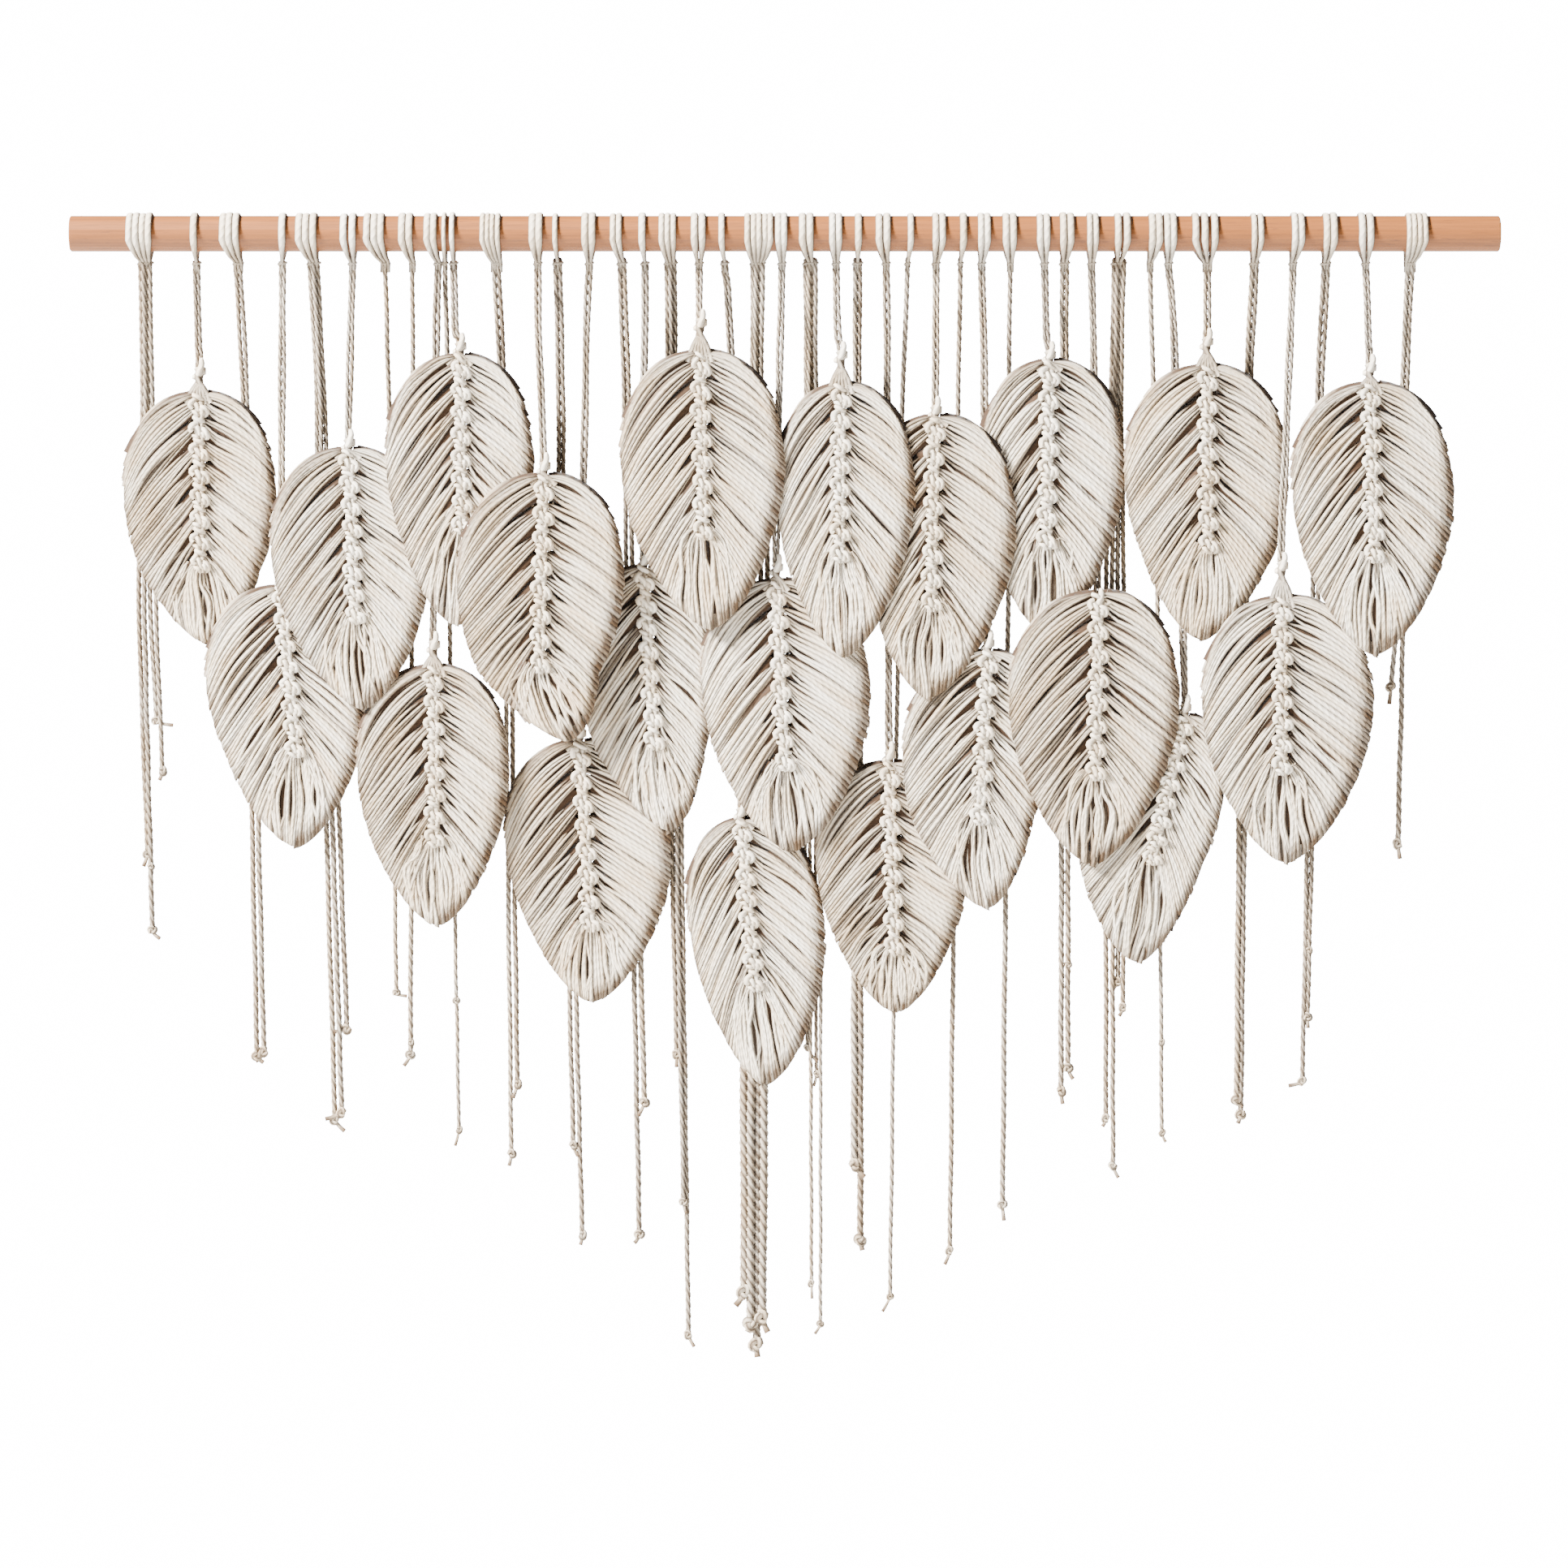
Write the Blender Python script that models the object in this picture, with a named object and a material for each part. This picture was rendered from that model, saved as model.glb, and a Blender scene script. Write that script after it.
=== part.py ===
"""Macrame wall hanging: 21 knotted leaves and 22 drops of plain cord on a wooden rod.

Metres, +Z up. The origin is the middle of the rod, on its axis, which runs along X.
The viewer stands at -Y and the wall is at +Y. The tables are in millimetres.
Each leaf and each drop is one body: its turns round the rod, the hitch under the rod,
and the strands or the leaf that hang from it, all fused where the knots hold them.
"""

import math

import bmesh
import bpy
from mathutils import Vector

MM = 0.001
FLATNESS = 1e-6

# The rod.
ROD_LENGTH = 1000.0
ROD_RADIUS = 12.5
ROD_SIDES = 24
ROD_EDGE = 0.8
ROD_SHARP_ANGLE = 30.0

# The turns of cord wound round the rod.
WRAP_SIDES = 10
WRAP_CLEARANCE = 0.35
WRAP_CROWN_RADIUS = 16.8
WRAP_VALLEY_RADIUS = 15.4
TURN_SIDE_LEAN = 0.5

# The hitch that ties each wrap off, just under the rod.
HITCH_RADIUS = 17.4
HITCH_HALF_HEIGHT = 4.0
HITCH_HALF_WIDTH = 4.2
HITCH_HALF_DEPTH = 3.6
HITCH_MARGIN = 2.2
HITCH_SIDES = 6
HITCH_END_SHARE = 0.55

# A hanging strand has four sides. Half its width and half its depth.
STRAND_HALF_WIDTH = 1.6
STRAND_HALF_DEPTH = 1.6
PAIR_HALF_WIDTH = 2.3
PAIR_HALF_DEPTH = 1.8
STRAND_SPACING = 3.6
DROP_DEPTH = 17.0
MIDDLE_Z = -250.0

# A cord leaves its wrap at the rod's side and settles to its own depth this far down,
# having made this share of its way sideways. On a leaf that hangs close under the rod it
# settles sooner. Sections of a strand are at least the least step apart.
SETTLE_DROP = 62.0
SETTLE_SHARE = 0.35
SETTLE_ROOM = 110.0
LEAST_STEP = 1.0

# Overhand knots on the strands: half width, half height and the tail left under one.
END_KNOT_HALF_WIDTH = 3.4
END_KNOT_HALF_HEIGHT = 3.6
END_KNOT_TAIL = 4.0
TAIL_HALF_WIDTH = 1.1
TOP_KNOT_HALF_WIDTH = 5.6
TOP_KNOT_HALF_DEPTH = 4.2
TOP_KNOT_HALF_HEIGHT = 6.5

# A leaf: its outline, its spine of square knots and its ridged locks of strands.
SPINE_KNOTS = 8
FAN_LOCKS = 4
OUTLINE_SKEW = 0.75
OUTLINE_FULLNESS = 0.6
WIDEST_AT = 0.38
FIRST_EDGE = 0.06
LAST_EDGE = 0.84
EDGE_SPREAD = 0.9
FAN_SPREAD = 1.5
STRAND_FALL = 1.35
LEAF_BACK = 1.7
SPINE_FOOT = 8.6
SPINE_CROWN = 4.4
KNOT_SWELL = 0.9
STRAND_SINK = 10.0

# How far each column of a leaf's front stands before its mid plane, in a groove and on
# a ridge. A groove runs out to the back at the edge, so the edge is notched.
RELIEF = {
    "edge": (-LEAF_BACK, 2.2),
    "middle": (2.0, 3.2),
    "foot": (1.9, 3.2),
    "crown": (3.5, 5.2),
}

WOOD_COLOUR = (0.66, 0.36, 0.21, 1.0)
WOOD_ROUGHNESS = 0.55
CORD_COLOUR = (0.74, 0.70, 0.63, 1.0)
CORD_ROUGHNESS = 0.9

# One row for each leaf. wrap_left and wrap_right are the ends of its turns on the rod,
# hang_x is its cord under the rod, knot_z its gathering knot, top, spine_end and tip
# are points on its middle line, left and right its widest reach, depth the place of its
# mid plane and cord_depth that of its cord where it hangs behind a neighbour.
LEAF_COLUMNS = (
    "name wrap_left wrap_right turns hang_x knot_z top_x top_z "
    "end_x end_z tip_x tip_z left right depth cord_depth"
).split()
LEAF_ROWS = """
leaf_01 -416 -409 1 -412   -95 -411 -112 -410 -237 -404 -287 -464 -357  11.0  11.0
leaf_02 -311 -299 2 -303  -146 -305 -152 -300 -273 -295 -332 -359 -248  -5.3  -5.3
leaf_03 -235 -230 1 -232   -79 -227  -87 -225 -211 -229 -274 -278 -175 -10.6 -10.6
leaf_04 -179 -169 2 -173  -163 -168 -171 -171 -308 -152 -355 -228 -112 -17.8 -17.8
leaf_05  -66  -55 2  -60   -63  -59  -85  -57 -215  -52 -277 -114    0 -16.0 -16.0
leaf_06   31   40 2   36   -85   39 -107   38 -231   41 -296   -5   91 -10.5 -10.5
leaf_07  103  112 2  106  -123  105 -129  102 -265  100 -325   54  162  -5.0  -5.0
leaf_08  176  185 2  182   -84  185  -90  183 -221  183 -280  137  238   0.5   0.5
leaf_09  283  304 3  296   -75  295  -94  296 -224  292 -284  238  353  -1.0  -1.0
leaf_10  400  412 2  407   -94  408 -107  411 -231  412 -295  354  467 -12.0 -12.0
leaf_11 -355 -347 1 -352  -240 -353 -248 -342 -367 -342 -429 -405 -295   5.5   5.5
leaf_12 -252 -243 2 -243  -287 -246 -304 -245 -429 -243 -484 -299 -193   0.0   0.0
leaf_13 -103  -96 1  -98  -228  -99 -234  -91 -362  -81 -418 -146  -50   2.5   2.5
leaf_14   -7    2 2   -2  -233   -6 -244    0 -376    4 -432  -58   60  -3.0  -3.0
leaf_15  -47  -41 1  -42  -404  -31 -411  -21 -531  -14 -596  -67   28  11.5  11.5
leaf_16   63   74 2   71  -364   73 -371   77 -505   78 -545   22  128   6.0   6.0
leaf_17  135  144 2  138  -286  142 -293  136 -414  142 -472   83  184   0.5   5.0
leaf_18  211  219 2  215  -257  219 -252  217 -383  215 -441  157  276  -5.0   5.0
leaf_19  265  274 2  269  -331  280 -338  256 -442  248 -510  210  306   3.5   3.5
leaf_20  354  363 2  356  -232  347 -256  347 -379  350 -440  292  412  -6.5  -6.5
leaf_21 -142 -132 2 -137  -349 -144 -356 -136 -489 -135 -538 -196  -80  11.0  11.0
"""

# One row for each drop: the ends of its turns on the rod and where its hitch sits.
DROP_COLUMNS = "name wrap_left wrap_right turns hang_x".split()
DROP_ROWS = """
drop_01 -460 -442 4 -448
drop_02 -395 -381 3 -383
drop_03 -342 -327 3 -330
drop_04 -294 -280 3 -280
drop_05 -270 -260 2 -261
drop_06 -240 -236 1 -238
drop_07 -213 -199 4 -202
drop_08 -163 -158 1 -159
drop_09 -122 -114 2 -114
drop_10  -88  -76 3  -80
drop_11  -28   -8 5  -19
drop_12   10   20 2   18
drop_13   48   55 1   51
drop_14   85   91 1   86
drop_15  121  128 1  123
drop_16  152  162 2  158
drop_17  192  202 2  196
drop_18  230  242 2  234
drop_19  254  264 2  256
drop_20  326  334 2  329
drop_21  376  386 2  379
drop_22  434  449 4  438
"""

# One row for each strand of a drop: where it hangs a quarter of the way down, where it
# ends, and the height of a knot part way down it, or 0 for none.
STRAND_COLUMNS = "drop middle_x end_x end_z knot_z".split()
STRAND_ROWS = """
drop_01 -454 -450 -444    0
drop_01 -450 -445 -498 -444
drop_01 -446 -441 -351    0
drop_01 -442 -435 -386    0
drop_02 -378 -372 -586    0
drop_02 -374 -365 -583    0
drop_03 -327 -318 -631    0
drop_03 -323 -311 -626    0
drop_03 -319 -306 -567    0
drop_04 -277 -273 -542    0
drop_05 -262 -263 -585 -567
drop_06 -236 -229 -638 -537
drop_07 -197 -193 -655    0
drop_07 -193 -187 -606    0
drop_08 -158 -150 -649    0
drop_08 -154 -141 -712    0
drop_09 -111 -103 -712    0
drop_09 -107  -98 -619    0
drop_10  -83  -78 -585    0
drop_10  -79  -71 -689    0
drop_10  -75  -66 -782    0
drop_11  -29  -33 -752    0
drop_11  -23  -23 -774    0
drop_11  -17  -18 -789    0
drop_11  -12  -13 -770    0
drop_12   13   14 -580    0
drop_12   17   18 -746    0
drop_12   21   23 -599    0
drop_12   25   27 -774    0
drop_13   49   48 -663    0
drop_13   53   54 -715    0
drop_14   80   74 -755    0
drop_15  121  116 -723    0
drop_16  157  153 -691    0
drop_17  195  193 -611    0
drop_17  199  200 -595 -512
drop_18  226  223 -630    0
drop_18  230  230 -663    0
drop_18  234  235 -534    0
drop_18  238  240 -552    0
drop_19  262  265 -640 -566
drop_20  321  317 -617    0
drop_20  325  321 -627    0
drop_21  371  363 -604    0
drop_21  375  368 -559 -502
drop_22  431  425 -327    0
drop_22  435  432 -437    0
"""


def read_table(columns, rows):
    """The rows as dictionaries, with the first column as text and the rest as numbers."""
    table = []
    for line in rows.strip().splitlines():
        words = line.split()
        row = {columns[0]: words[0]}
        row.update(zip(columns[1:], map(float, words[1:])))
        table.append(row)
    return table


def clear_scene():
    for old in list(bpy.data.objects):
        bpy.data.objects.remove(old)


def plain_material(name, colour, roughness):
    material = bpy.data.materials.new(name)
    material.use_nodes = True
    shader = material.node_tree.nodes["Principled BSDF"]
    shader.inputs["Base Color"].default_value = colour
    shader.inputs["Roughness"].default_value = roughness
    shader.inputs["Metallic"].default_value = 0.0
    return material


def cord_material(name):
    return plain_material("cord_" + name, CORD_COLOUR, CORD_ROUGHNESS)


def is_flat(face):
    """Whether all corners of a face lie in its plane, within a micrometre."""
    centre = face.calc_center_median()
    return all(abs((v.co - centre).dot(face.normal)) < FLATNESS for v in face.verts)


def solid(name, points, faces):
    """A closed mesh object from points in millimetres, with its faces turned outwards."""
    mesh = bpy.data.meshes.new(name)
    mesh.from_pydata([Vector(p) * MM for p in points], [], faces)
    work = bmesh.new()
    work.from_mesh(mesh)
    bmesh.ops.recalc_face_normals(work, faces=work.faces)
    uneven = [f for f in work.faces if not is_flat(f)]
    bmesh.ops.triangulate(work, faces=uneven)
    work.to_mesh(mesh)
    work.free()
    piece = bpy.data.objects.new(name, mesh)
    bpy.context.scene.collection.objects.link(piece)
    return piece


def loft(name, rings):
    """A closed solid through rings of equal numbers of points, with flat ends."""
    sides = len(rings[0])
    points = [p for ring in rings for p in ring]
    faces = []
    for low in range(0, (len(rings) - 1) * sides, sides):
        for i in range(sides):
            j = (i + 1) % sides
            faces.append((low + i, low + j, low + sides + j, low + sides + i))
    faces.append(tuple(range(sides)))
    faces.append(tuple(range(len(points) - sides, len(points))))
    return solid(name, points, faces)


def fuse(name, pieces, material):
    """One object from overlapping solids. The solids that were its parts are removed."""
    whole = pieces[0]
    for other in pieces[1:]:
        union = whole.modifiers.new("fuse_" + other.name, "BOOLEAN")
        union.operation = "UNION"
        union.object = other
    bpy.context.view_layer.update()
    evaluated = whole.evaluated_get(bpy.context.evaluated_depsgraph_get())
    mesh = bpy.data.meshes.new_from_object(evaluated)
    for piece in pieces:
        bpy.data.objects.remove(piece)
    mesh.name = name
    mesh.materials.clear()
    mesh.materials.append(material)
    fused = bpy.data.objects.new(name, mesh)
    bpy.context.scene.collection.objects.link(fused)
    return fused


def build_rod(material):
    """The dowel, with its end edges eased."""
    rings = []
    half = ROD_LENGTH / 2
    for x, radius in (
        (-half, ROD_RADIUS - ROD_EDGE),
        (-half + ROD_EDGE, ROD_RADIUS),
        (half - ROD_EDGE, ROD_RADIUS),
        (half, ROD_RADIUS - ROD_EDGE),
    ):
        rings.append([turn_point(x, radius, i, ROD_SIDES) for i in range(ROD_SIDES)])
    rod = loft("rod", rings)
    rod.data.materials.append(material)
    rod.data.shade_smooth()
    rod.data.set_sharp_from_angle(angle=math.radians(ROD_SHARP_ANGLE))
    return rod


def turn_point(x, radius, i, sides):
    angle = 2 * math.pi * (i + 0.5) / sides
    return (x, radius * math.sin(angle), radius * math.cos(angle))


def wrap(row):
    """The turns of cord round the rod: a ring whose outside has a ridge for each turn."""
    inner = (ROD_RADIUS + WRAP_CLEARANCE) / math.cos(math.pi / WRAP_SIDES)
    left, right = row["wrap_left"], row["wrap_right"]
    turns = int(row["turns"])
    profile = [(left + TURN_SIDE_LEAN, inner)]
    pitch = (right - left) / turns
    for turn in range(turns):
        if turn:
            profile.append((left + pitch * turn, WRAP_VALLEY_RADIUS))
        profile.append((left + pitch * (turn + 0.5), WRAP_CROWN_RADIUS))
    profile.append((right - TURN_SIDE_LEAN, inner))
    count = len(profile)
    points = []
    faces = []
    for i in range(WRAP_SIDES):
        points += [turn_point(x, radius, i, WRAP_SIDES) for x, radius in profile]
        here, there = i * count, (i + 1) % WRAP_SIDES * count
        for j in range(count):
            k = (j + 1) % count
            faces.append((here + j, here + k, there + k, there + j))
    return solid(row["name"] + "_wrap", points, faces)


def hitch_place(hang_x, depth):
    """The middle of the hitch, under the rod and towards the side that it hangs on."""
    lean = math.asin(depth / (2 * HITCH_RADIUS))
    return (hang_x, HITCH_RADIUS * math.sin(lean), -HITCH_RADIUS * math.cos(lean))


def hitch(name, place, half_width):
    """The knot under the rod, six-sided and wider at its middle."""
    x, y, z = place
    rings = []
    for share, swell in ((1, HITCH_END_SHARE), (0, 1.0), (-1, HITCH_END_SHARE)):
        ring = []
        for i in range(HITCH_SIDES):
            angle = 2 * math.pi * i / HITCH_SIDES
            across = half_width * swell * math.cos(angle)
            through = HITCH_HALF_DEPTH * swell * math.sin(angle)
            ring.append((x + across, y + through, z + HITCH_HALF_HEIGHT * share))
        rings.append(ring)
    return loft(name + "_hitch", rings)


def strand(name, sections):
    """A four-sided strand. A section is x, y, z, half its width and half its depth."""
    rings = []
    for x, y, z, wide, deep in sections:
        rings.append([(x - wide, y, z), (x, y + deep, z), (x + wide, y, z), (x, y - deep, z)])
    return loft(name, rings)


def line_through(stations):
    """A function that gives (x, y) at a height, from (x, y, z) stations, top to bottom."""

    def place(z):
        for (x0, y0, z0), (x1, y1, z1) in zip(stations, stations[1:]):
            if z >= z1:
                share = (z0 - z) / (z0 - z1)
                return x0 + (x1 - x0) * share, y0 + (y1 - y0) * share
        return stations[-1][:2]

    return place


def knot_sections(place, z, wide, deep, height, cord_wide, cord_deep):
    """The sections of a knot on a strand, from its upper end to its lower one."""
    sections = []
    for share, half_width, half_depth in (
        (1, cord_wide, cord_deep),
        (0, wide, deep),
        (-1, cord_wide, cord_deep),
    ):
        x, y = place(z + height * share)
        sections.append((x, y, z + height * share, half_width, half_depth))
    return sections


def hitch_sections(place, cord_wide, cord_deep):
    """The sections of a strand that is hitched alone, from inside its wrap to under it."""
    x, y, z = place
    return [
        (x, y, z + HITCH_HALF_HEIGHT, cord_wide, cord_deep),
        (x, y, z, HITCH_HALF_WIDTH, HITCH_HALF_DEPTH),
        (x, y, z - HITCH_HALF_HEIGHT, cord_wide, cord_deep),
    ]


def drop_strand(name, row, place, start_x, alone):
    """One strand of a drop, from inside its hitch down to its end knot and short tail."""
    stations = [
        (start_x, place[1], place[2]),
        (start_x + (row["middle_x"] - start_x) * SETTLE_SHARE, DROP_DEPTH, place[2] - SETTLE_DROP),
        (row["middle_x"], DROP_DEPTH, MIDDLE_Z),
        (row["end_x"], DROP_DEPTH, row["end_z"]),
    ]
    at = line_through(stations)
    sections = [(x, y, z, STRAND_HALF_WIDTH, STRAND_HALF_DEPTH) for x, y, z in stations[:3]]
    if alone:
        sections[:1] = hitch_sections(place, STRAND_HALF_WIDTH, STRAND_HALF_DEPTH)
    knots = [row["knot_z"]] if row["knot_z"] else []
    knots.append(row["end_z"] + END_KNOT_HALF_HEIGHT)
    for z in knots:
        sections += knot_sections(
            at,
            z,
            END_KNOT_HALF_WIDTH,
            END_KNOT_HALF_WIDTH,
            END_KNOT_HALF_HEIGHT,
            STRAND_HALF_WIDTH,
            STRAND_HALF_DEPTH,
        )
    x, y, z = sections.pop()[:3]
    sections.append((x, y, z - END_KNOT_TAIL, TAIL_HALF_WIDTH, TAIL_HALF_WIDTH))
    return strand(name, sections)


def build_drop(row, strand_rows, material):
    """A drop: its wrap, its hitch and its strands, fused."""
    name = row["name"]
    place = hitch_place(row["hang_x"], DROP_DEPTH)
    count = len(strand_rows)
    pieces = [wrap(row)]
    if count > 1:
        pieces.append(hitch(name, place, STRAND_SPACING * count / 2 + HITCH_MARGIN))
    for i, strand_row in enumerate(strand_rows):
        start_x = row["hang_x"] + STRAND_SPACING * (i - (count - 1) / 2)
        pieces.append(drop_strand(f"{name}_{i}", strand_row, place, start_x, count == 1))
    return fuse(name, pieces, material)


def leaf_cord(row):
    """A leaf's cord from its wrap to its top, with its hitch and gathering knot raised."""
    place = hitch_place(row["hang_x"], row["cord_depth"])
    x, y, z = place
    cord_y, leaf_y = row["cord_depth"], row["depth"]
    settle = SETTLE_DROP * min(1, (TOP_KNOT_HALF_HEIGHT - row["knot_z"]) / SETTLE_ROOM)
    stations = [
        (x, y, z - HITCH_HALF_HEIGHT),
        (x + (row["top_x"] - x) * SETTLE_SHARE, cord_y, z - settle),
        (row["top_x"], cord_y, row["knot_z"] + 2 * TOP_KNOT_HALF_HEIGHT),
        (row["top_x"], leaf_y, row["knot_z"] + TOP_KNOT_HALF_HEIGHT),
        (row["top_x"], leaf_y, row["top_z"] - STRAND_SINK),
    ]
    for i in (2, 1):
        if stations[1][2] <= stations[2][2] + LEAST_STEP:
            del stations[i]
    at = line_through(stations)
    sections = hitch_sections(place, PAIR_HALF_WIDTH, PAIR_HALF_DEPTH)
    for sx, sy, sz in stations[1:-2]:
        sections.append((sx, sy, sz, PAIR_HALF_WIDTH, PAIR_HALF_DEPTH))
    sections += knot_sections(
        at,
        row["knot_z"],
        TOP_KNOT_HALF_WIDTH,
        TOP_KNOT_HALF_DEPTH,
        TOP_KNOT_HALF_HEIGHT,
        PAIR_HALF_WIDTH,
        PAIR_HALF_DEPTH,
    )
    sx, sy, sz = stations[-1]
    if sections[-1][2] > sz + LEAST_STEP:
        sections.append((sx, sy, sz, PAIR_HALF_WIDTH, PAIR_HALF_DEPTH))
    return strand(row["name"] + "_cord", sections)


class Outline:
    """A leaf's middle line and outline. Length shares run from 0 at the top to 1 at the
    tip."""

    def __init__(self, row):
        self.row = row
        self.length = row["top_z"] - row["tip_z"]
        self.spine_share = (row["top_z"] - row["end_z"]) / self.length
        middle_x = self.middle(WIDEST_AT)
        self.reach = {-1: middle_x - row["left"], 1: row["right"] - middle_x}

    def middle(self, t):
        """The middle line's x at a share of the length."""
        row = self.row
        if t <= self.spine_share:
            return row["top_x"] + (row["end_x"] - row["top_x"]) * t / self.spine_share
        past = (t - self.spine_share) / (1 - self.spine_share)
        return row["end_x"] + (row["tip_x"] - row["end_x"]) * past

    def height(self, t):
        return self.row["top_z"] - self.length * t

    def edge(self, t, side):
        """The outline's x on one side, -1 for the left and 1 for the right."""
        swing = math.sin(math.pi * min(t, 1.0) ** OUTLINE_SKEW)
        width = self.reach[side] * max(0.0, swing) ** OUTLINE_FULLNESS
        return self.middle(t) + side * width


def leaf_rows(outline):
    """The leaf's rows, one in each groove and on each ridge, with the places of their
    columns on either side. Only a ridge and the end rows have a middle column."""
    rows = []
    last = 2 * SPINE_KNOTS
    for k in range(last + 1):
        ridge = k % 2
        spine_t = outline.spine_share * k / last
        edge_t = FIRST_EDGE + (LAST_EDGE - FIRST_EDGE) * (k / last) ** EDGE_SPREAD
        swell = 1 + ridge * KNOT_SWELL / SPINE_FOOT
        row = {"ridge": ridge}
        for side in (-1, 1):
            middle_x = outline.middle(spine_t)
            spine_z = outline.height(spine_t)
            foot_x = middle_x + side * SPINE_FOOT * swell
            edge_x = outline.edge(edge_t, side)
            places = {"edge": (edge_x, outline.height(edge_t))}
            if ridge or k in (0, last):
                middle_t = spine_t + (edge_t - spine_t) * 0.5**STRAND_FALL
                places["middle"] = ((foot_x + edge_x) / 2, outline.height(middle_t))
            places["foot"] = (foot_x, spine_z)
            places["crown"] = (middle_x + side * SPINE_CROWN * swell, spine_z)
            row[side] = places
        rows.append(row)
    return rows


class LeafMesh:
    """Collects a leaf's points and faces."""

    def __init__(self, depth):
        self.depth = depth
        self.points = []
        self.faces = []

    def add(self, place, relief):
        """A point that stands this far before the mid plane, and its number."""
        x, z = place
        self.points.append((x, self.depth - relief, z))
        return len(self.points) - 1

    def face(self, *corners):
        self.faces.append(corners)


def leaf_sheet(row):
    """The leaf itself: a sheet with its spine of knots and its locks of strands raised."""
    outline = Outline(row)
    mesh = LeafMesh(row["depth"])
    rows = []
    rim = {-1: [], 1: []}
    for places in leaf_rows(outline):
        ridge = places["ridge"]
        line = {}
        for side in (-1, 1):
            line[side] = {c: mesh.add(p, RELIEF[c][ridge]) for c, p in places[side].items()}
            edge = line[side]["edge"]
            behind = mesh.add(places[side]["edge"], -LEAF_BACK) if ridge else edge
            rim[side].append((edge, behind))
        rows.append(line)
    for upper, lower in zip(rows, rows[1:]):
        for side in (-1, 1):
            locks = [upper[side][c] for c in ("edge", "middle", "foot") if c in upper[side]]
            below = [lower[side][c] for c in ("foot", "middle", "edge") if c in lower[side]]
            mesh.face(*locks, *below)
            mesh.face(
                upper[side]["foot"], upper[side]["crown"], lower[side]["crown"], lower[side]["foot"]
            )
        mesh.face(upper[-1]["crown"], upper[1]["crown"], lower[1]["crown"], lower[-1]["crown"])
    fan_rim = add_leaf_fan(mesh, outline, rows[-1])
    add_leaf_back(mesh, rows[0], rim[-1] + fan_rim + rim[1][::-1])
    return solid(row["name"] + "_sheet", mesh.points, mesh.faces)


def add_leaf_fan(mesh, outline, last_row):
    """The locks that fan out under the spine, as far as the tip. Gives their rim."""
    left, right = last_row[-1], last_row[1]
    hub_x, hub_z = outline.middle(outline.spine_share), outline.height(outline.spine_share)
    edges = [left["edge"]]
    middles = [left["middle"]]
    rim = []
    for i in range(1, 2 * FAN_LOCKS):
        ridge = i % 2
        side = -1 if i < FAN_LOCKS else 1
        from_tip = abs(i - FAN_LOCKS) / FAN_LOCKS
        edge_t = 1 - (1 - LAST_EDGE) * from_tip**FAN_SPREAD
        edge = (outline.edge(edge_t, side), outline.height(edge_t))
        edges.append(mesh.add(edge, RELIEF["edge"][ridge]))
        middle = ((edge[0] + hub_x) / 2, (edge[1] + hub_z) / 2)
        middles.append(mesh.add(middle, RELIEF["middle"][ridge]))
        rim.append((edges[-1], mesh.add(edge, -LEAF_BACK) if ridge else edges[-1]))
    edges.append(right["edge"])
    middles.append(right["middle"])
    for i in range(2 * FAN_LOCKS):
        mesh.face(edges[i], edges[i + 1], middles[i + 1], middles[i])
        if i < FAN_LOCKS - 1:
            mesh.face(left["foot"], middles[i], middles[i + 1])
        if i > FAN_LOCKS:
            mesh.face(right["foot"], middles[i], middles[i + 1])
    near_left, tip, near_right = middles[FAN_LOCKS - 1 : FAN_LOCKS + 2]
    mesh.face(left["foot"], near_left, left["crown"])
    mesh.face(left["crown"], near_left, tip)
    mesh.face(left["crown"], tip, right["crown"])
    mesh.face(right["crown"], tip, near_right)
    mesh.face(right["crown"], near_right, right["foot"])
    return rim


def add_leaf_back(mesh, top_row, rim):
    """The cut edge, the narrow top and the flat back. The rim pairs each point in front
    with the one behind it, which in a groove is the same point."""
    for (front, back), (next_front, next_back) in zip(rim, rim[1:]):
        if front != back or next_front != next_back:
            mesh.face(*dict.fromkeys((front, next_front, next_back, back)))
    top = {}
    for side in (-1, 1):
        for column in ("middle", "foot"):
            x, _, z = mesh.points[top_row[side][column]]
            top[side, column] = mesh.add((x, z), -LEAF_BACK)
    for side in (-1, 1):
        edge, middle, foot = (top_row[side][c] for c in ("edge", "middle", "foot"))
        mesh.face(edge, middle, top[side, "middle"])
        mesh.face(middle, foot, top[side, "foot"], top[side, "middle"])
    mesh.face(
        top_row[-1]["foot"],
        top_row[-1]["crown"],
        top_row[1]["crown"],
        top_row[1]["foot"],
        top[1, "foot"],
        top[-1, "foot"],
    )
    left_top = [top[-1, "foot"], top[-1, "middle"]]
    right_top = [top[1, "middle"], top[1, "foot"]]
    mesh.face(*left_top, *(back for _, back in rim), *right_top)


def build_leaf(row, material):
    """A leaf with its wrap, its hitch and its cord, fused."""
    return fuse(row["name"], [wrap(row), leaf_cord(row), leaf_sheet(row)], material)


def main():
    clear_scene()
    wood = plain_material("wood", WOOD_COLOUR, WOOD_ROUGHNESS)
    build_rod(wood)
    strands = read_table(STRAND_COLUMNS, STRAND_ROWS)
    for row in read_table(LEAF_COLUMNS, LEAF_ROWS):
        build_leaf(row, cord_material(row["name"]))
    for row in read_table(DROP_COLUMNS, DROP_ROWS):
        own = [s for s in strands if s["drop"] == row["name"]]
        build_drop(row, own, cord_material(row["name"]))


main()
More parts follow.
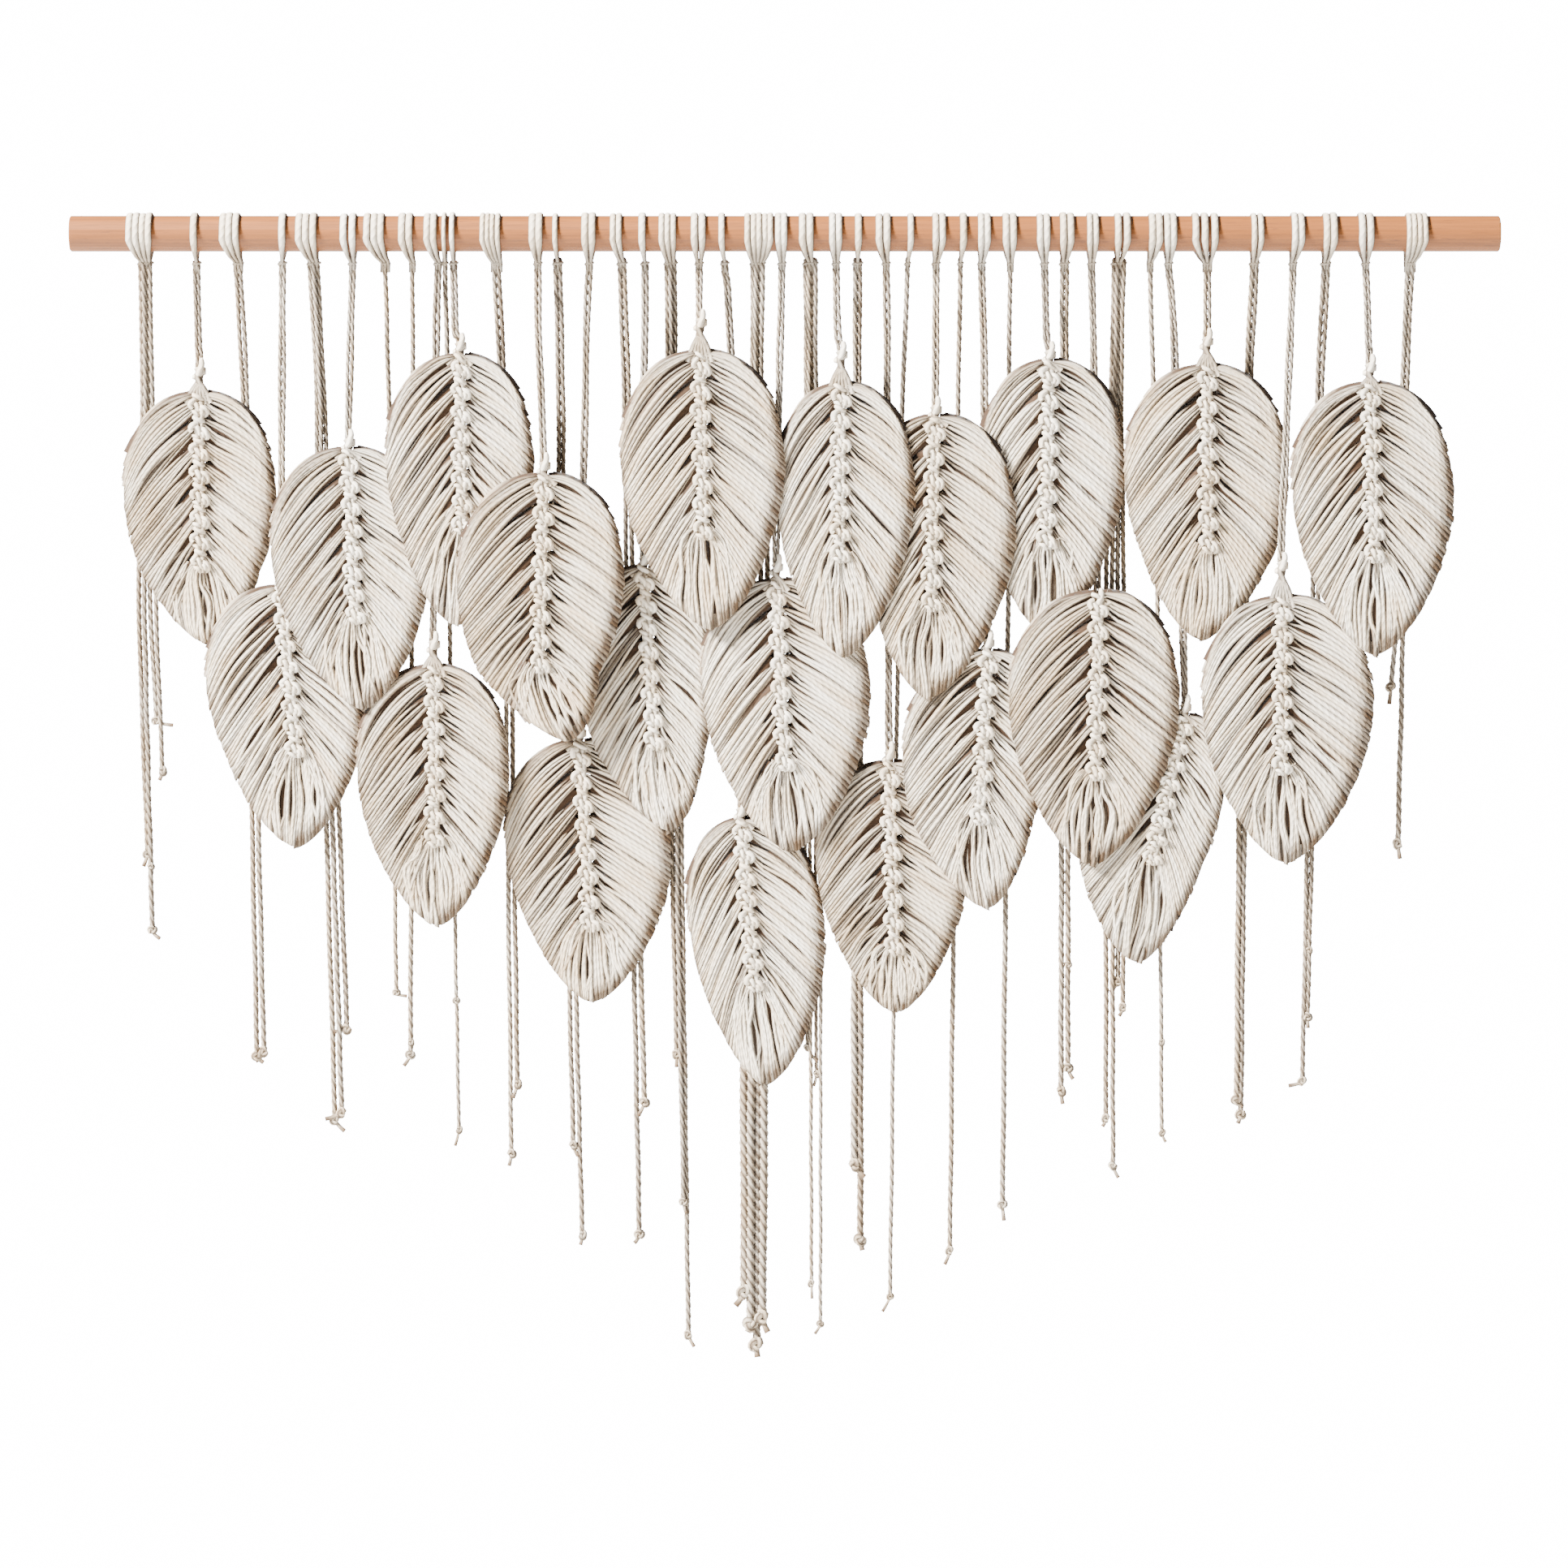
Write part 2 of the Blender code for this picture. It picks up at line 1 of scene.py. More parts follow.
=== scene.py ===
"""Looks of the macrame wall hanging.

Every leaf and every drop is made of its lengths of cotton cord, which stand for its plain
solid. Lengths are in millimetres, in the frame's axes: +X to the viewer's right, +Y away
from the viewer, +Z up, with the origin on the rod's axis. Where a value has an entry for
-1 and one for 1, they are those of a leaf's left and right half.
"""

import math

import bpy
import numpy as np
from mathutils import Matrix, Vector


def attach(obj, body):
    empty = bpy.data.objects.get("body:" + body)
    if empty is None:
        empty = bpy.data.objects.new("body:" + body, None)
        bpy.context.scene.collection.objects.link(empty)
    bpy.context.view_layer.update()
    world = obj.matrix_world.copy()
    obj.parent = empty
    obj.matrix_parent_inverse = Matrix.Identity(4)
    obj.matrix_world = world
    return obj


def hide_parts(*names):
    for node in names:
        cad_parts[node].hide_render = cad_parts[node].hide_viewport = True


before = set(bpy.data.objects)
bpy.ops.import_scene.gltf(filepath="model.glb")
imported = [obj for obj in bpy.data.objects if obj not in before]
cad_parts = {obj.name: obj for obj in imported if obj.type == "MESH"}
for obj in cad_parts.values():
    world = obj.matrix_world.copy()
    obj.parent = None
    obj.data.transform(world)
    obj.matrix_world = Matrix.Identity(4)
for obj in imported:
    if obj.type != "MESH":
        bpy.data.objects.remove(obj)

MM = 0.001

# The photograph: its side in pixels, the millimetres in a pixel and the pixel of the origin.
PHOTO_SIDE = 1932
PIXEL = 0.568
ORIGIN_PIXEL = (967, 288)

# The camera stands far off, so that the view is nearly without perspective, and its sight
# reaches further than the floor.
CAMERA_DISTANCE = 4000.0
CAMERA_SIGHT = 50000.0
SENSOR = 36.0

# The studio, in metres: a white room seen behind the piece, less bright as a light, and
# one large lamp high up on the left.
BACKDROP_STRENGTH = 16.0
FILL_STRENGTH = 0.45
LAMP_PLACE = (-5.2, -2.8, 3.6)
LAMP_TARGET = (0.0, 0.0, -0.35)
LAMP_SIZE = 1.8
LAMP_POWER = 6700.0
LAMP_COLOUR = (1.0, 0.985, 0.96)
FLOOR_Z = -1.45
FLOOR_REACH = 3.0
FLOOR_FINISH = {"Base Color": (0.85, 0.85, 0.84, 1), "Roughness": 0.9}

# The turns of cord over the rod: half their width at most and under the rod, half their
# depth, how far round they lie on the rod in degrees, and how close they come under it
# where there are few of them or many.
ROD_RADIUS = 12.5
TURN_RADIUS = 2.6
TURN_LOW_RADIUS = 1.4
TURN_DEPTH = 1.3
TURN_OVERLAP = 1.08
TURN_SWEEP = 118
TURN_SAMPLES = 13
MANY_TURNS = 4
FEW_SPACING = 2.2
MANY_SPACING = 1.9

# The binding under the rod, and where the cords settle below it, as in the solids.
BINDING_Z = -19.5
BINDING_Y = 4.5
GATHERED_Z = -110.0
DROP_DEPTH = 17.0
MIDDLE_Z = -250.0
SETTLE_DROP = 62.0
SETTLE_SHARE = 0.35
SETTLE_ROOM = 110.0
TOP_KNOT_HALF_HEIGHT = 6.5

# The twisted cords. A drop's cords lie further apart the fewer they are, in two layers if
# there are more than two, draw nearer to each other at their ends, and change to their
# low radius between two heights. A binding reaches round a pair, or past a drop's cords.
LEAF_CORD_RADIUS = 1.6
DROP_CORD_RADIUS = 1.9
SWELL_HEIGHTS = (-430, -200)
PAIR_SPACING = 2.5
PAIR_REACH = 2.3
CORD_SPACING = (0.0, 0.0, 3.2, 2.7, 2.3)
CORD_REACH = 1.4
LAYER_STEP = 1.5
CLOSE_ENDS = 0.7
CORD_STEP = 2.3
TWIST_PITCH = 22.0
WAVE_LENGTHS = (60, 130)
SWAY_EASE = 30
LEAF_CORD_SWAY = 0.25
DROP_CORD_SWAY = 0.2
# The painted shade all along each hanging cord, its least and most.
CORD_SHADES = (0.3, 0.6)
ANY_PHASE = (0, 6.3)

# The small knots on the cords, the radius of the cord in them, and the cut tails.
KNOT_SIZE = 1.25
KNOT_CORD_RADIUS = 1.35
KNOT_GAP = 0.3
THIN_CORD = 1.6
TAIL_LENGTHS = (5, 11)
TAIL_LEAN = 0.7

# A leaf's outline and its spine of square knots.
OUTLINE_SKEW = 0.75
OUTLINE_FULLNESS = 0.6
WIDEST_AT = 0.38
SPINE_KNOTS = 8

# A leaf's cut strands: some on either side of each knot, and a fan under the last knot.
# They leave each knot in a bunch, nearer to each other than they lie further out.
STRANDS_PER_KNOT = 5
STRAND_SAMPLES = 14
STRAND_SIZES = (0.8, 1.25)
SIDE_SWAY = 0.3
FIRST_END = {-1: 0.36, 1: 0.2}
LAST_END = 0.92
END_POWER = {-1: 0.92, 1: 1.0}
FOOT = {-1: 2.4, 1: 3.6}
BUNCH = {-1: (0.46, 0.0), 1: (0.38, 2.6)}
BUNCH_LENGTH = {-1: 0.55, 1: 0.16}
FEATHER = {-1: 0.3, 1: 0.4}

# Half the width of a strand: the share of the room between its neighbours, and its limits.
FILL = 0.7
LEAST_HALF_WIDTH = 1.4
MOST_HALFWAY = 3.4
MOST_FLARE = 3.6

# Places along a strand as shares of its length, with its height over the leaf's mid
# plane, half its depth, its hollow value near its foot, which is painted shade where it
# goes under the spine, and the places of its widths.
RISE_PLACES = (0.0, 0.08, 0.2, 0.35, 0.88, 1.0)
RISE = {-1: (3.4, 4.4, 2.8, 1.9, 1.1, 0.3), 1: (3.0, 2.6, 2.1, 1.8, 1.2, -2.8)}
STRAND_DEPTH = ((0, 0.2, 0.9, 1), (1.4, 1.7, 1.7, 1.4))
FOOT_HOLLOW = ((0, 0.08, 0.25), (0.5, 0.15, 0))
WIDTH_PLACES = (0, 0.12, 0.45, 1)

# The cut ends: where the painted shade on them starts, over what length it deepens, and
# its least and most. It is fainter on a leaf's shoulder.
CUT = {-1: (0.97, 0.03, 0.2, 0.6), 1: (0.77, 0.14, 0.6, 1)}
SHOULDER_END_SHADE = {-1: 1.0, 1: 0.45}

# Strands lie unevenly, and some are sunken, with painted shade along them. The first
# strand of each knot dips at its foot, which leaves a dark notch beside the spine, deepened
# with painted shade.
UNEVEN = {-1: 0.55, 1: 0.32}
SUNKEN = {-1: 0.34, 1: 0.18}
SUNKEN_SIZE = 0.82
SUNKEN_DEPTH = 1.2
SUNKEN_SHADE = {-1: 0.75, 1: 0.5}
DIP = {-1: 2.8, 1: 1.2}
DIP_REACH = {-1: 19.0, 1: 11.0}
DIP_HOLLOW = 0.3

# The back layer, with painted shade on its side that faces the front layer and on its cut
# ends, and the flat dark strands between the two layers, which are painted shade.
BACKING_SAMPLES = 9
BACKING_REACH = -1.6
BACKING_SINK = 2.5
BACKING_DEPTH = 1.5
BACKING_HOLLOW = ((0, 0.35, 0.7), (0.8, 0.5, 0))
SHADE_SAMPLES = 7
SHADE_SPAN = (0.04, 0.88)
SHADE_SINK = 1.3
SHADE_DEPTH = 0.4

# The shoulder over the first knot, with its painted shade, and the fan under the last one.
SHOULDER_STRANDS = 9
SHOULDER_SHARE = 0.7
SHOULDER_SHADE = {-1: 0.5, 1: 0.2}
FAN_STRANDS = 13
FAN_HALF_WIDTH = 9.0
FAN_NOTCHES = (-9, -8, 5, 6)
FAN_DIP = 3.2
FAN_BULGE = 1.25
FAN_SWAY = 1.2
FAN_WIDTHS = (1.55, 1.75)
FAN_FLARE = 2.4

# Leaves of warmer cotton, and leaves whose left half is shaded. A left half has the first
# painted shade, or the second where it is shaded. Each leaf and drop has its warmth, and
# each half has a warmth too: the left half is painted warmer as part of its shade.
WARM_LEAVES = (1, 4, 5, 7, 9, 12, 16, 18, 21)
SHADED_LEAVES = (1, 2, 4, 12, 16, 18, 21)
LEFT_SHADE = (0.04, 0.23)
HALF_SHADE_WARMTH = {-1: 0.4, 1: 0.0}
WARM = 0.4
COOL = -0.2
DROP_WARMTH = 0.5

# Each leaf and drop adds its own number to the seed.
LEAF_SEED = 99
DROP_SEED = 199

# One row for each leaf. wrap_left and wrap_right are the ends of its turns on the rod,
# hang_x is its cord under the rod, knot_z its gathering knot, top, spine_end and tip
# are points on its middle line, left and right its widest reach, depth the place of its
# mid plane and cord_depth that of its cord where it hangs behind a neighbour.
LEAF_COLUMNS = (
    "name wrap_left wrap_right turns hang_x knot_z top_x top_z "
    "end_x end_z tip_x tip_z left right depth cord_depth"
).split()
LEAF_ROWS = """
leaf_01 -416 -409 1 -412   -95 -411 -112 -410 -237 -404 -287 -464 -357  11.0  11.0
leaf_02 -311 -299 2 -303  -146 -305 -152 -300 -273 -295 -332 -359 -248  -5.3  -5.3
leaf_03 -235 -230 1 -232   -79 -227  -87 -225 -211 -229 -274 -278 -175 -10.6 -10.6
leaf_04 -179 -169 2 -173  -163 -168 -171 -171 -308 -152 -355 -228 -112 -17.8 -17.8
leaf_05  -66  -55 2  -60   -63  -59  -85  -57 -215  -52 -277 -114    0 -16.0 -16.0
leaf_06   31   40 2   36   -85   39 -107   38 -231   41 -296   -5   91 -10.5 -10.5
leaf_07  103  112 2  106  -123  105 -129  102 -265  100 -325   54  162  -5.0  -5.0
leaf_08  176  185 2  182   -84  185  -90  183 -221  183 -280  137  238   0.5   0.5
leaf_09  283  304 3  296   -75  295  -94  296 -224  292 -284  238  353  -1.0  -1.0
leaf_10  400  412 2  407   -94  408 -107  411 -231  412 -295  354  467 -12.0 -12.0
leaf_11 -355 -347 1 -352  -240 -353 -248 -342 -367 -342 -429 -405 -295   5.5   5.5
leaf_12 -252 -243 2 -243  -287 -246 -304 -245 -429 -243 -484 -299 -193   0.0   0.0
leaf_13 -103  -96 1  -98  -228  -99 -234  -91 -362  -81 -418 -146  -50   2.5   2.5
leaf_14   -7    2 2   -2  -233   -6 -244    0 -376    4 -432  -58   60  -3.0  -3.0
leaf_15  -47  -41 1  -42  -404  -31 -411  -21 -531  -14 -596  -67   28  11.5  11.5
leaf_16   63   74 2   71  -364   73 -371   77 -505   78 -545   22  128   6.0   6.0
leaf_17  135  144 2  138  -286  142 -293  136 -414  142 -472   83  184   0.5   5.0
leaf_18  211  219 2  215  -257  219 -252  217 -383  215 -441  157  276  -5.0   5.0
leaf_19  265  274 2  269  -331  280 -338  256 -442  248 -510  210  306   3.5   3.5
leaf_20  354  363 2  356  -232  347 -256  347 -379  350 -440  292  412  -6.5  -6.5
leaf_21 -142 -132 2 -137  -349 -144 -356 -136 -489 -135 -538 -196  -80  11.0  11.0
"""

# One row for each drop: the ends and the number of its turns on the rod, where it hangs
# from them and how thick its cords are low down.
DROP_COLUMNS = "name wrap_left wrap_right turns hang_x low_radius".split()
DROP_ROWS = """
drop_01 -460 -442 4 -448 2.0
drop_02 -395 -381 3 -383 2.2
drop_03 -342 -327 3 -330 2.2
drop_04 -294 -280 3 -280 1.7
drop_05 -270 -260 2 -261 2.1
drop_06 -240 -236 1 -238 1.5
drop_07 -213 -199 4 -202 2.0
drop_08 -163 -158 1 -159 2.0
drop_09 -122 -114 2 -114 2.2
drop_10  -88  -76 3  -80 1.9
drop_11  -28   -8 5  -19 3.2
drop_12   10   20 2   18 1.5
drop_13   48   55 1   51 2.7
drop_14   85   91 1   86 1.6
drop_15  121  128 1  123 1.9
drop_16  152  162 2  158 2.1
drop_17  192  202 2  196 2.2
drop_18  230  242 2  234 1.9
drop_19  254  264 2  256 1.6
drop_20  326  334 2  329 2.3
drop_21  376  386 2  379 2.0
drop_22  434  449 4  438 2.2
"""

# One row for each strand of a drop: its x at MIDDLE_Z, where it ends, and the height of a
# knot part way down it, or 0 for none.
STRAND_COLUMNS = "drop middle_x end_x end_z knot_z".split()
STRAND_ROWS = """
drop_01 -454 -450 -444    0
drop_01 -450 -445 -498 -444
drop_01 -446 -441 -351    0
drop_01 -442 -435 -386    0
drop_02 -378 -372 -586    0
drop_02 -374 -365 -583    0
drop_03 -327 -318 -631    0
drop_03 -323 -311 -626    0
drop_03 -319 -306 -567    0
drop_04 -277 -273 -542    0
drop_05 -262 -263 -585 -567
drop_06 -236 -229 -638 -537
drop_07 -197 -193 -655    0
drop_07 -193 -187 -606    0
drop_08 -158 -150 -649    0
drop_08 -154 -141 -712    0
drop_09 -111 -103 -712    0
drop_09 -107  -98 -619    0
drop_10  -83  -78 -585    0
drop_10  -79  -71 -689    0
drop_10  -75  -66 -782    0
drop_11  -29  -31 -752    0
drop_11  -23  -25 -774    0
drop_11  -17  -19 -789    0
drop_11  -12  -13 -770    0
drop_12   13   14 -580    0
drop_12   17   18 -746    0
drop_12   21   23 -599    0
drop_12   25   27 -774    0
drop_13   49   48 -663    0
drop_13   53   54 -715    0
drop_14   80   74 -755    0
drop_15  121  116 -723    0
drop_16  157  153 -691    0
drop_17  195  193 -611    0
drop_17  199  200 -595 -512
drop_18  226  223 -630    0
drop_18  230  230 -663    0
drop_18  234  235 -534    0
drop_18  238  240 -552    0
drop_19  262  265 -640 -566
drop_20  321  317 -617    0
drop_20  325  321 -627    0
drop_21  371  363 -604    0
drop_21  375  368 -559 -502
drop_22  431  425 -327    0
drop_22  435  432 -437    0
"""

# The cords of one square knot of a spine, as points across, towards the viewer and up
# from the knot's middle, each with its radius: a low bight on the left, what crosses in
# the middle, and the bight that stands up on the right.
KNOT_HEIGHT = 16.8
KNOT_CORDS = (
    (2.1, (-2.2, 4.0, 3.9), (-4.4, 5.4, 2.8), (-5.5, 5.2, 0.2), (-4.0, 4.6, -1.9)),
    (1.7, (-3.6, 3.8, 8.4), (-1.4, 5.3, 7.2), (1.0, 5.2, 5.6), (3.2, 3.0, 4.6)),
    (1.8, (-3.2, 3.8, 1.8), (-1.2, 5.5, 0.4), (0.4, 5.2, -2.4), (0.4, 2.8, -5.6)),
    (1.6, (-4.2, 3.6, -4.6), (-2.2, 5.2, -5.2), (-0.6, 4.9, -6.6), (0.2, 2.8, -8.0)),
    (1.8, (0.6, 2.4, -0.4), (3.2, 5.1, -0.8), (6.0, 5.4, -2.9), (6.1, 4.0, -5.8), (3.8, 1.2, -7.4)),
    (2.0, (0.8, 2.8, -2.6), (2.9, 5.0, -3.0), (3.7, 4.6, -4.9), (2.6, 1.2, -7.0)),
)
CORE_PLACES = (-1.8, 1.8)
CORE_RISE = 3.2
CORE_RADIUS = 2.2
BACK_HEIGHTS = (5.6, 0.0, -5.6)
BACK_POINTS = ((-9.0, 0.6), (-5.0, 3.2), (3.6, 3.4), (7.4, 0.6))
BACK_RADII = (2.4, 1.8)

# The gathering knot: the end that pokes up beside it, as points from its middle, and the
# cords under it, which spread towards the first square knot, with painted shade along
# them, deepest just under the knot.
THUMB = ((-1.6, -2.6, -5.0), (0.6, -4.2, -1.0), (2.2, -3.8, 4.0), (1.8, -2.2, 8.2))
THUMB_RADII = ((0, 0.3, 0.85, 1), (1.6, 2.3, 2.2, 1.5))
NECK_PLACES = (-2.5, -1.5, -0.5, 0.5, 1.5, 2.5)
NECK_RADII = (2.1, 2.0)
NECK_HOLLOW = ((0, 0.25, 0.8, 1), (0.2, 0.55, 0.5, 0.2))
NECK_END = 8.0

# Steps between the points of a small knot's cords, a short one and a longer one.
FINE_STEP = 1.6
BROAD_STEP = 3.0

# The cotton: ridges of its twist in a metre, its finish and its colours. The last three
# colours are painted shade: in the valleys of the plies, between and under cords, and on
# cut ends.
PLY_RIDGES = 170.0
COTTON_FINISH = {
    "Roughness": 0.9,
    "Specular IOR Level": 0.1,
    "Sheen Weight": 0.05,
    "Sheen Roughness": 0.6,
}
COTTON_WARM = (0.55, 0.415, 0.26, 1)
COTTON_PALE = (0.84, 0.785, 0.68, 1)
COTTON_SHADED = (0.42, 0.33, 0.24, 1)
COTTON_PAINTED_SHADE = (0.034, 0.018, 0.009, 1)
COTTON_CUT_SHADE = (0.075, 0.042, 0.02, 1)
COTTON_BUMP = 0.6

# The beech: its finish, its colours and the scale of each of its noises along the axes.
BEECH_FINISH = {"Roughness": 0.55, "Specular IOR Level": 0.35}
BEECH_DARK = (0.07, 0.021, 0.003, 1)
BEECH_LIGHT = (0.265, 0.085, 0.014, 1)
BEECH_BROAD = (0.185, 0.057, 0.0085, 1)
BEECH_FLECK = (0.08, 0.026, 0.008, 1)
GRAIN_SCALE = (22.0, 650.0, 650.0)
FLECK_SCALE = (60.0, 900.0, 900.0)
BROAD_SCALE = (3.0, 25.0, 25.0)
FLECK_LIMIT = 0.68
BEECH_BUMP = 0.25

# The height of both materials' bumps, in metres.
BUMP_HEIGHT = 0.0003

VIEWER = np.array((0.0, -1.0, 0.0))
UP = np.array((0.0, 0.0, 1.0))


def read_table(columns, rows):
    """The rows as dictionaries, with the first column as text and the rest as numbers."""
    table = []
    for line in rows.strip().splitlines():
        words = line.split()
        row = {columns[0]: words[0]}
        row.update(zip(columns[1:], map(float, words[1:])))
        table.append(row)
    return table


def unit(vectors):
    return vectors / np.linalg.norm(vectors, axis=-1, keepdims=True)


def distances(path):
    """How far along a path each of its points lies."""
    steps = np.linalg.norm(np.diff(path, axis=0), axis=1)
    return np.concatenate(([0.0], np.cumsum(steps)))


def smooth(points, step):
    """Points at even steps along a smooth curve through a few points."""
    points = np.asarray(points, float)
    ends = np.vstack((2 * points[0] - points[1], points, 2 * points[-1] - points[-2]))
    t = np.linspace(0, 1, 16, endpoint=False)[:, None]
    pieces = []
    for before, start, end, after in zip(ends, ends[1:], ends[2:], ends[3:]):
        bend = 2 * before - 5 * start + 4 * end - after
        turn = 3 * start - before - 3 * end + after
        pieces.append(start + 0.5 * ((end - before) * t + bend * t**2 + turn * t**3))
    fine = np.vstack((*pieces, points[-1:]))
    along = distances(fine)
    even = np.linspace(0, along[-1], max(3, round(along[-1] / step) + 1))
    return np.column_stack([np.interp(even, along, fine[:, axis]) for axis in range(3)])


def curve(start, control, end, s):
    """Points of a curve with one control point, at the shares s of it."""
    return np.outer((1 - s) ** 2, start) + np.outer(2 * s * (1 - s), control) + np.outer(s**2, end)


def carried(path, start):
    """A normal for each point of a path, carried along it without twisting."""
    tangents = unit(np.gradient(path, axis=0))
    normals = np.empty_like(path)
    normal = np.asarray(start, float)
    for i, tangent in enumerate(tangents):
        normal = normal - tangent * normal.dot(tangent)
        normal = normal / np.linalg.norm(normal)
        normals[i] = normal
    return normals


class Yarn:
    """Collects lengths of cord as arrays of points and faces, and makes one mesh of them.

    Each point has a hollow value, 1 where painted shade is darkest, between and under cords
    and on strands in shade, a tint from -1 to 1, the same over one cord, a cut value, 1 on
    the cut end of a strand, where it is painted shade, and a twist value, 1 where the plies
    of a cord are too small to be modelled and are drawn with a bump and painted shade."""

    def __init__(self, warmth=0.0):
        self.warmth = warmth
        self.points = []
        self.marks = []
        self.quads = []
        self.wraps = []
        self.caps = []
        self.total = 0

    def add(self, points, hollow, tint, cut, twist):
        """Adds points with their values, and gives the number of the first of them."""
        first = self.total
        self.points.append(points.reshape(-1, 3))
        marks = np.empty((self.points[-1].shape[0], 4))
        marks[:, 0] = np.broadcast_to(hollow, points.shape[:-1]).ravel()
        marks[:, 1] = tint * (1 - abs(self.warmth)) - self.warmth
        marks[:, 2] = np.broadcast_to(cut, points.shape[:-1]).ravel()
        marks[:, 3] = twist
        self.marks.append(marks)
        self.total += len(marks)
        return first

    def skin(self, first, rings, sides, along):
        """The quads of a tube, and where they lie round it and along it."""
        low = first + np.arange(rings - 1)[:, None] * sides
        here = np.arange(sides)[None, :]
        there = (here + 1) % sides
        quads = np.stack((low + here, low + there, low + sides + there, low + sides + here), -1)
        self.quads.append(quads.reshape(-1, 4))
        around = np.broadcast_to(here / sides, (rings - 1, sides))
        after = around + 1 / sides
        start = np.broadcast_to(along[:-1, None], around.shape)
        end = np.broadcast_to(along[1:, None], around.shape)
        corners = np.stack((around, start, after, start, after, end, around, end), -1)
        self.wraps.append(corners.reshape(-1, 4, 2))

    def tube(
        self, path, normals, wide, deep, shape, tint, hollow=0.0, roll=0.0, edge=None, cut=0.0
    ):
        """A length of cord. shape is a row of radii, a row of hollow values, which are painted
        shade round it, its twist and the angle of its first point. hollow is painted shade all
        along it and cut painted shade towards its end. edge is the outline's direction, where it
        was trimmed."""
        radii, creases, twist, start = shape
        sides = len(radii)
        path = np.asarray(path, float)
        tangents = unit(np.gradient(path, axis=0))
        normals = np.broadcast_to(normals, path.shape)
        normals = unit(normals - tangents * (normals * tangents).sum(1, keepdims=True))
        across = np.cross(tangents, normals)
        angles = start + 2 * math.pi * np.arange(sides)[None, :] / sides + np.reshape(roll, (-1, 1))
        angles = np.broadcast_to(angles, (len(path), sides))
        side = np.cos(angles) * radii * np.reshape(wide, (-1, 1))
        front = np.sin(angles) * radii * np.reshape(deep, (-1, 1))
        offsets = side[..., None] * across[:, None]
        rings = path[:, None] + offsets + front[..., None] * normals[:, None]
        if edge is not None:
            trim(rings, tangents[-1], edge)
        shade = np.clip(creases[None, :] + np.reshape(hollow, (-1, 1)), 0, 1)
        shade = np.broadcast_to(shade, rings.shape[:-1])
        cuts = np.broadcast_to(np.reshape(cut, (-1, 1)), rings.shape[:-1])
        first = self.add(rings, shade, tint, cuts, twist)
        self.skin(first, len(path), sides, distances(path) * MM)
        for index, order in ((0, -1), (-1, 1)):
            cap = self.add(rings[index], 0.0, tint, cuts[index], 0.0)
            self.caps.append([cap + i for i in range(sides)][::order])

    def mesh_object(self, name, material):
        points = np.vstack(self.points) * MM
        quads = np.vstack(self.quads)
        mesh = bpy.data.meshes.new(name)
        mesh.from_pydata(points.tolist(), [], quads.tolist() + self.caps)
        wraps = np.zeros((len(mesh.loops), 2))
        drawn = np.vstack(self.wraps).reshape(-1, 2)
        wraps[: len(drawn)] = drawn
        layer = mesh.uv_layers.new(name="lay")
        layer.data.foreach_set("uv", wraps.ravel())
        marks = np.vstack(self.marks)
        for column, title in enumerate(("hollow", "tint", "cut", "twist")):
            attribute = mesh.attributes.new(title, "FLOAT", "POINT")
            attribute.data.foreach_set("value", marks[:, column])
        mesh.materials.append(material)
        mesh.shade_smooth()
        mesh.update()
        piece = bpy.data.objects.new(name, mesh)
        bpy.context.scene.collection.objects.link(piece)
        return piece


def trim(rings, direction, edge):
    """Slides a strand's last ring along the strand, so that it ends on the leaf's edge."""
    face = np.cross(unit(edge), VIEWER)
    lean = direction.dot(face)
    if abs(lean) < 0.3:
        return
    centre = rings[-1].mean(0)
    slide = -((rings[-1] - centre) @ face) / lean
    rings[-1] += np.clip(slide, -6, 6)[:, None] * direction


def round_shape(sides, crease=0.9):
    """A plain round strand, with its hollow values, which are painted shade, highest where
    it meets its neighbours.
    """
    start = math.pi / 2 - 2 * math.pi / sides
    angles = start + 2 * math.pi * np.arange(sides) / sides
    return np.ones(sides), crease * np.abs(np.cos(angles)) ** 3, 1.0, start


def plied_shape(plies=3):
    """A twisted cord: a valley, with painted shade in it, and a crest for each of its plies."""
    radii = np.array((0.89, 1.04) * plies)
    creases = np.array((1.0, 0.0) * plies)
    return radii, creases, 0.0, 0.0


def backing_shape():
    """A strand of a leaf's back layer, in shade on the side that faces the front layer."""
    return np.ones(5), np.array((0.5, 0.9, 0.5, 0.1, 0.1)), 1.0, math.radians(18)


LEAF_STRAND = round_shape(5)
KNOT_STRAND = round_shape(6, 0.6)
BACKING_STRAND = backing_shape()
SHADE_STRAND = round_shape(4, 0.0)
TURN = round_shape(8, 1.0)
PLIED = plied_shape()


class Outline:
    """A leaf's middle line and outline. Length shares run from 0 at the top to 1 at the
    tip."""

    def __init__(self, row):
        self.row = row
        self.length = row["top_z"] - row["tip_z"]
        self.spine_share = (row["top_z"] - row["end_z"]) / self.length
        middle_x = self.middle(WIDEST_AT)
        self.reach = {-1: middle_x - row["left"], 1: row["right"] - middle_x}

    def middle(self, t):
        """The middle line's x at a share of the length."""
        row = self.row
        if t <= self.spine_share:
            return row["top_x"] + (row["end_x"] - row["top_x"]) * t / self.spine_share
        past = (t - self.spine_share) / (1 - self.spine_share)
        return row["end_x"] + (row["tip_x"] - row["end_x"]) * past

    def height(self, t):
        return self.row["top_z"] - self.length * t

    def edge(self, t, side):
        """The outline's x on one side, -1 for the left and 1 for the right."""
        swing = math.sin(math.pi * min(t, 1.0) ** OUTLINE_SKEW)
        return self.middle(t) + side * self.reach[side] * max(0.0, swing) ** OUTLINE_FULLNESS

    def edge_point(self, t, side):
        return np.array((self.edge(t, side), self.row["depth"], self.height(t)))

    def edge_direction(self, t, side):
        return self.edge_point(min(t + 0.01, 0.999), side) - self.edge_point(max(t - 0.01, 0), side)


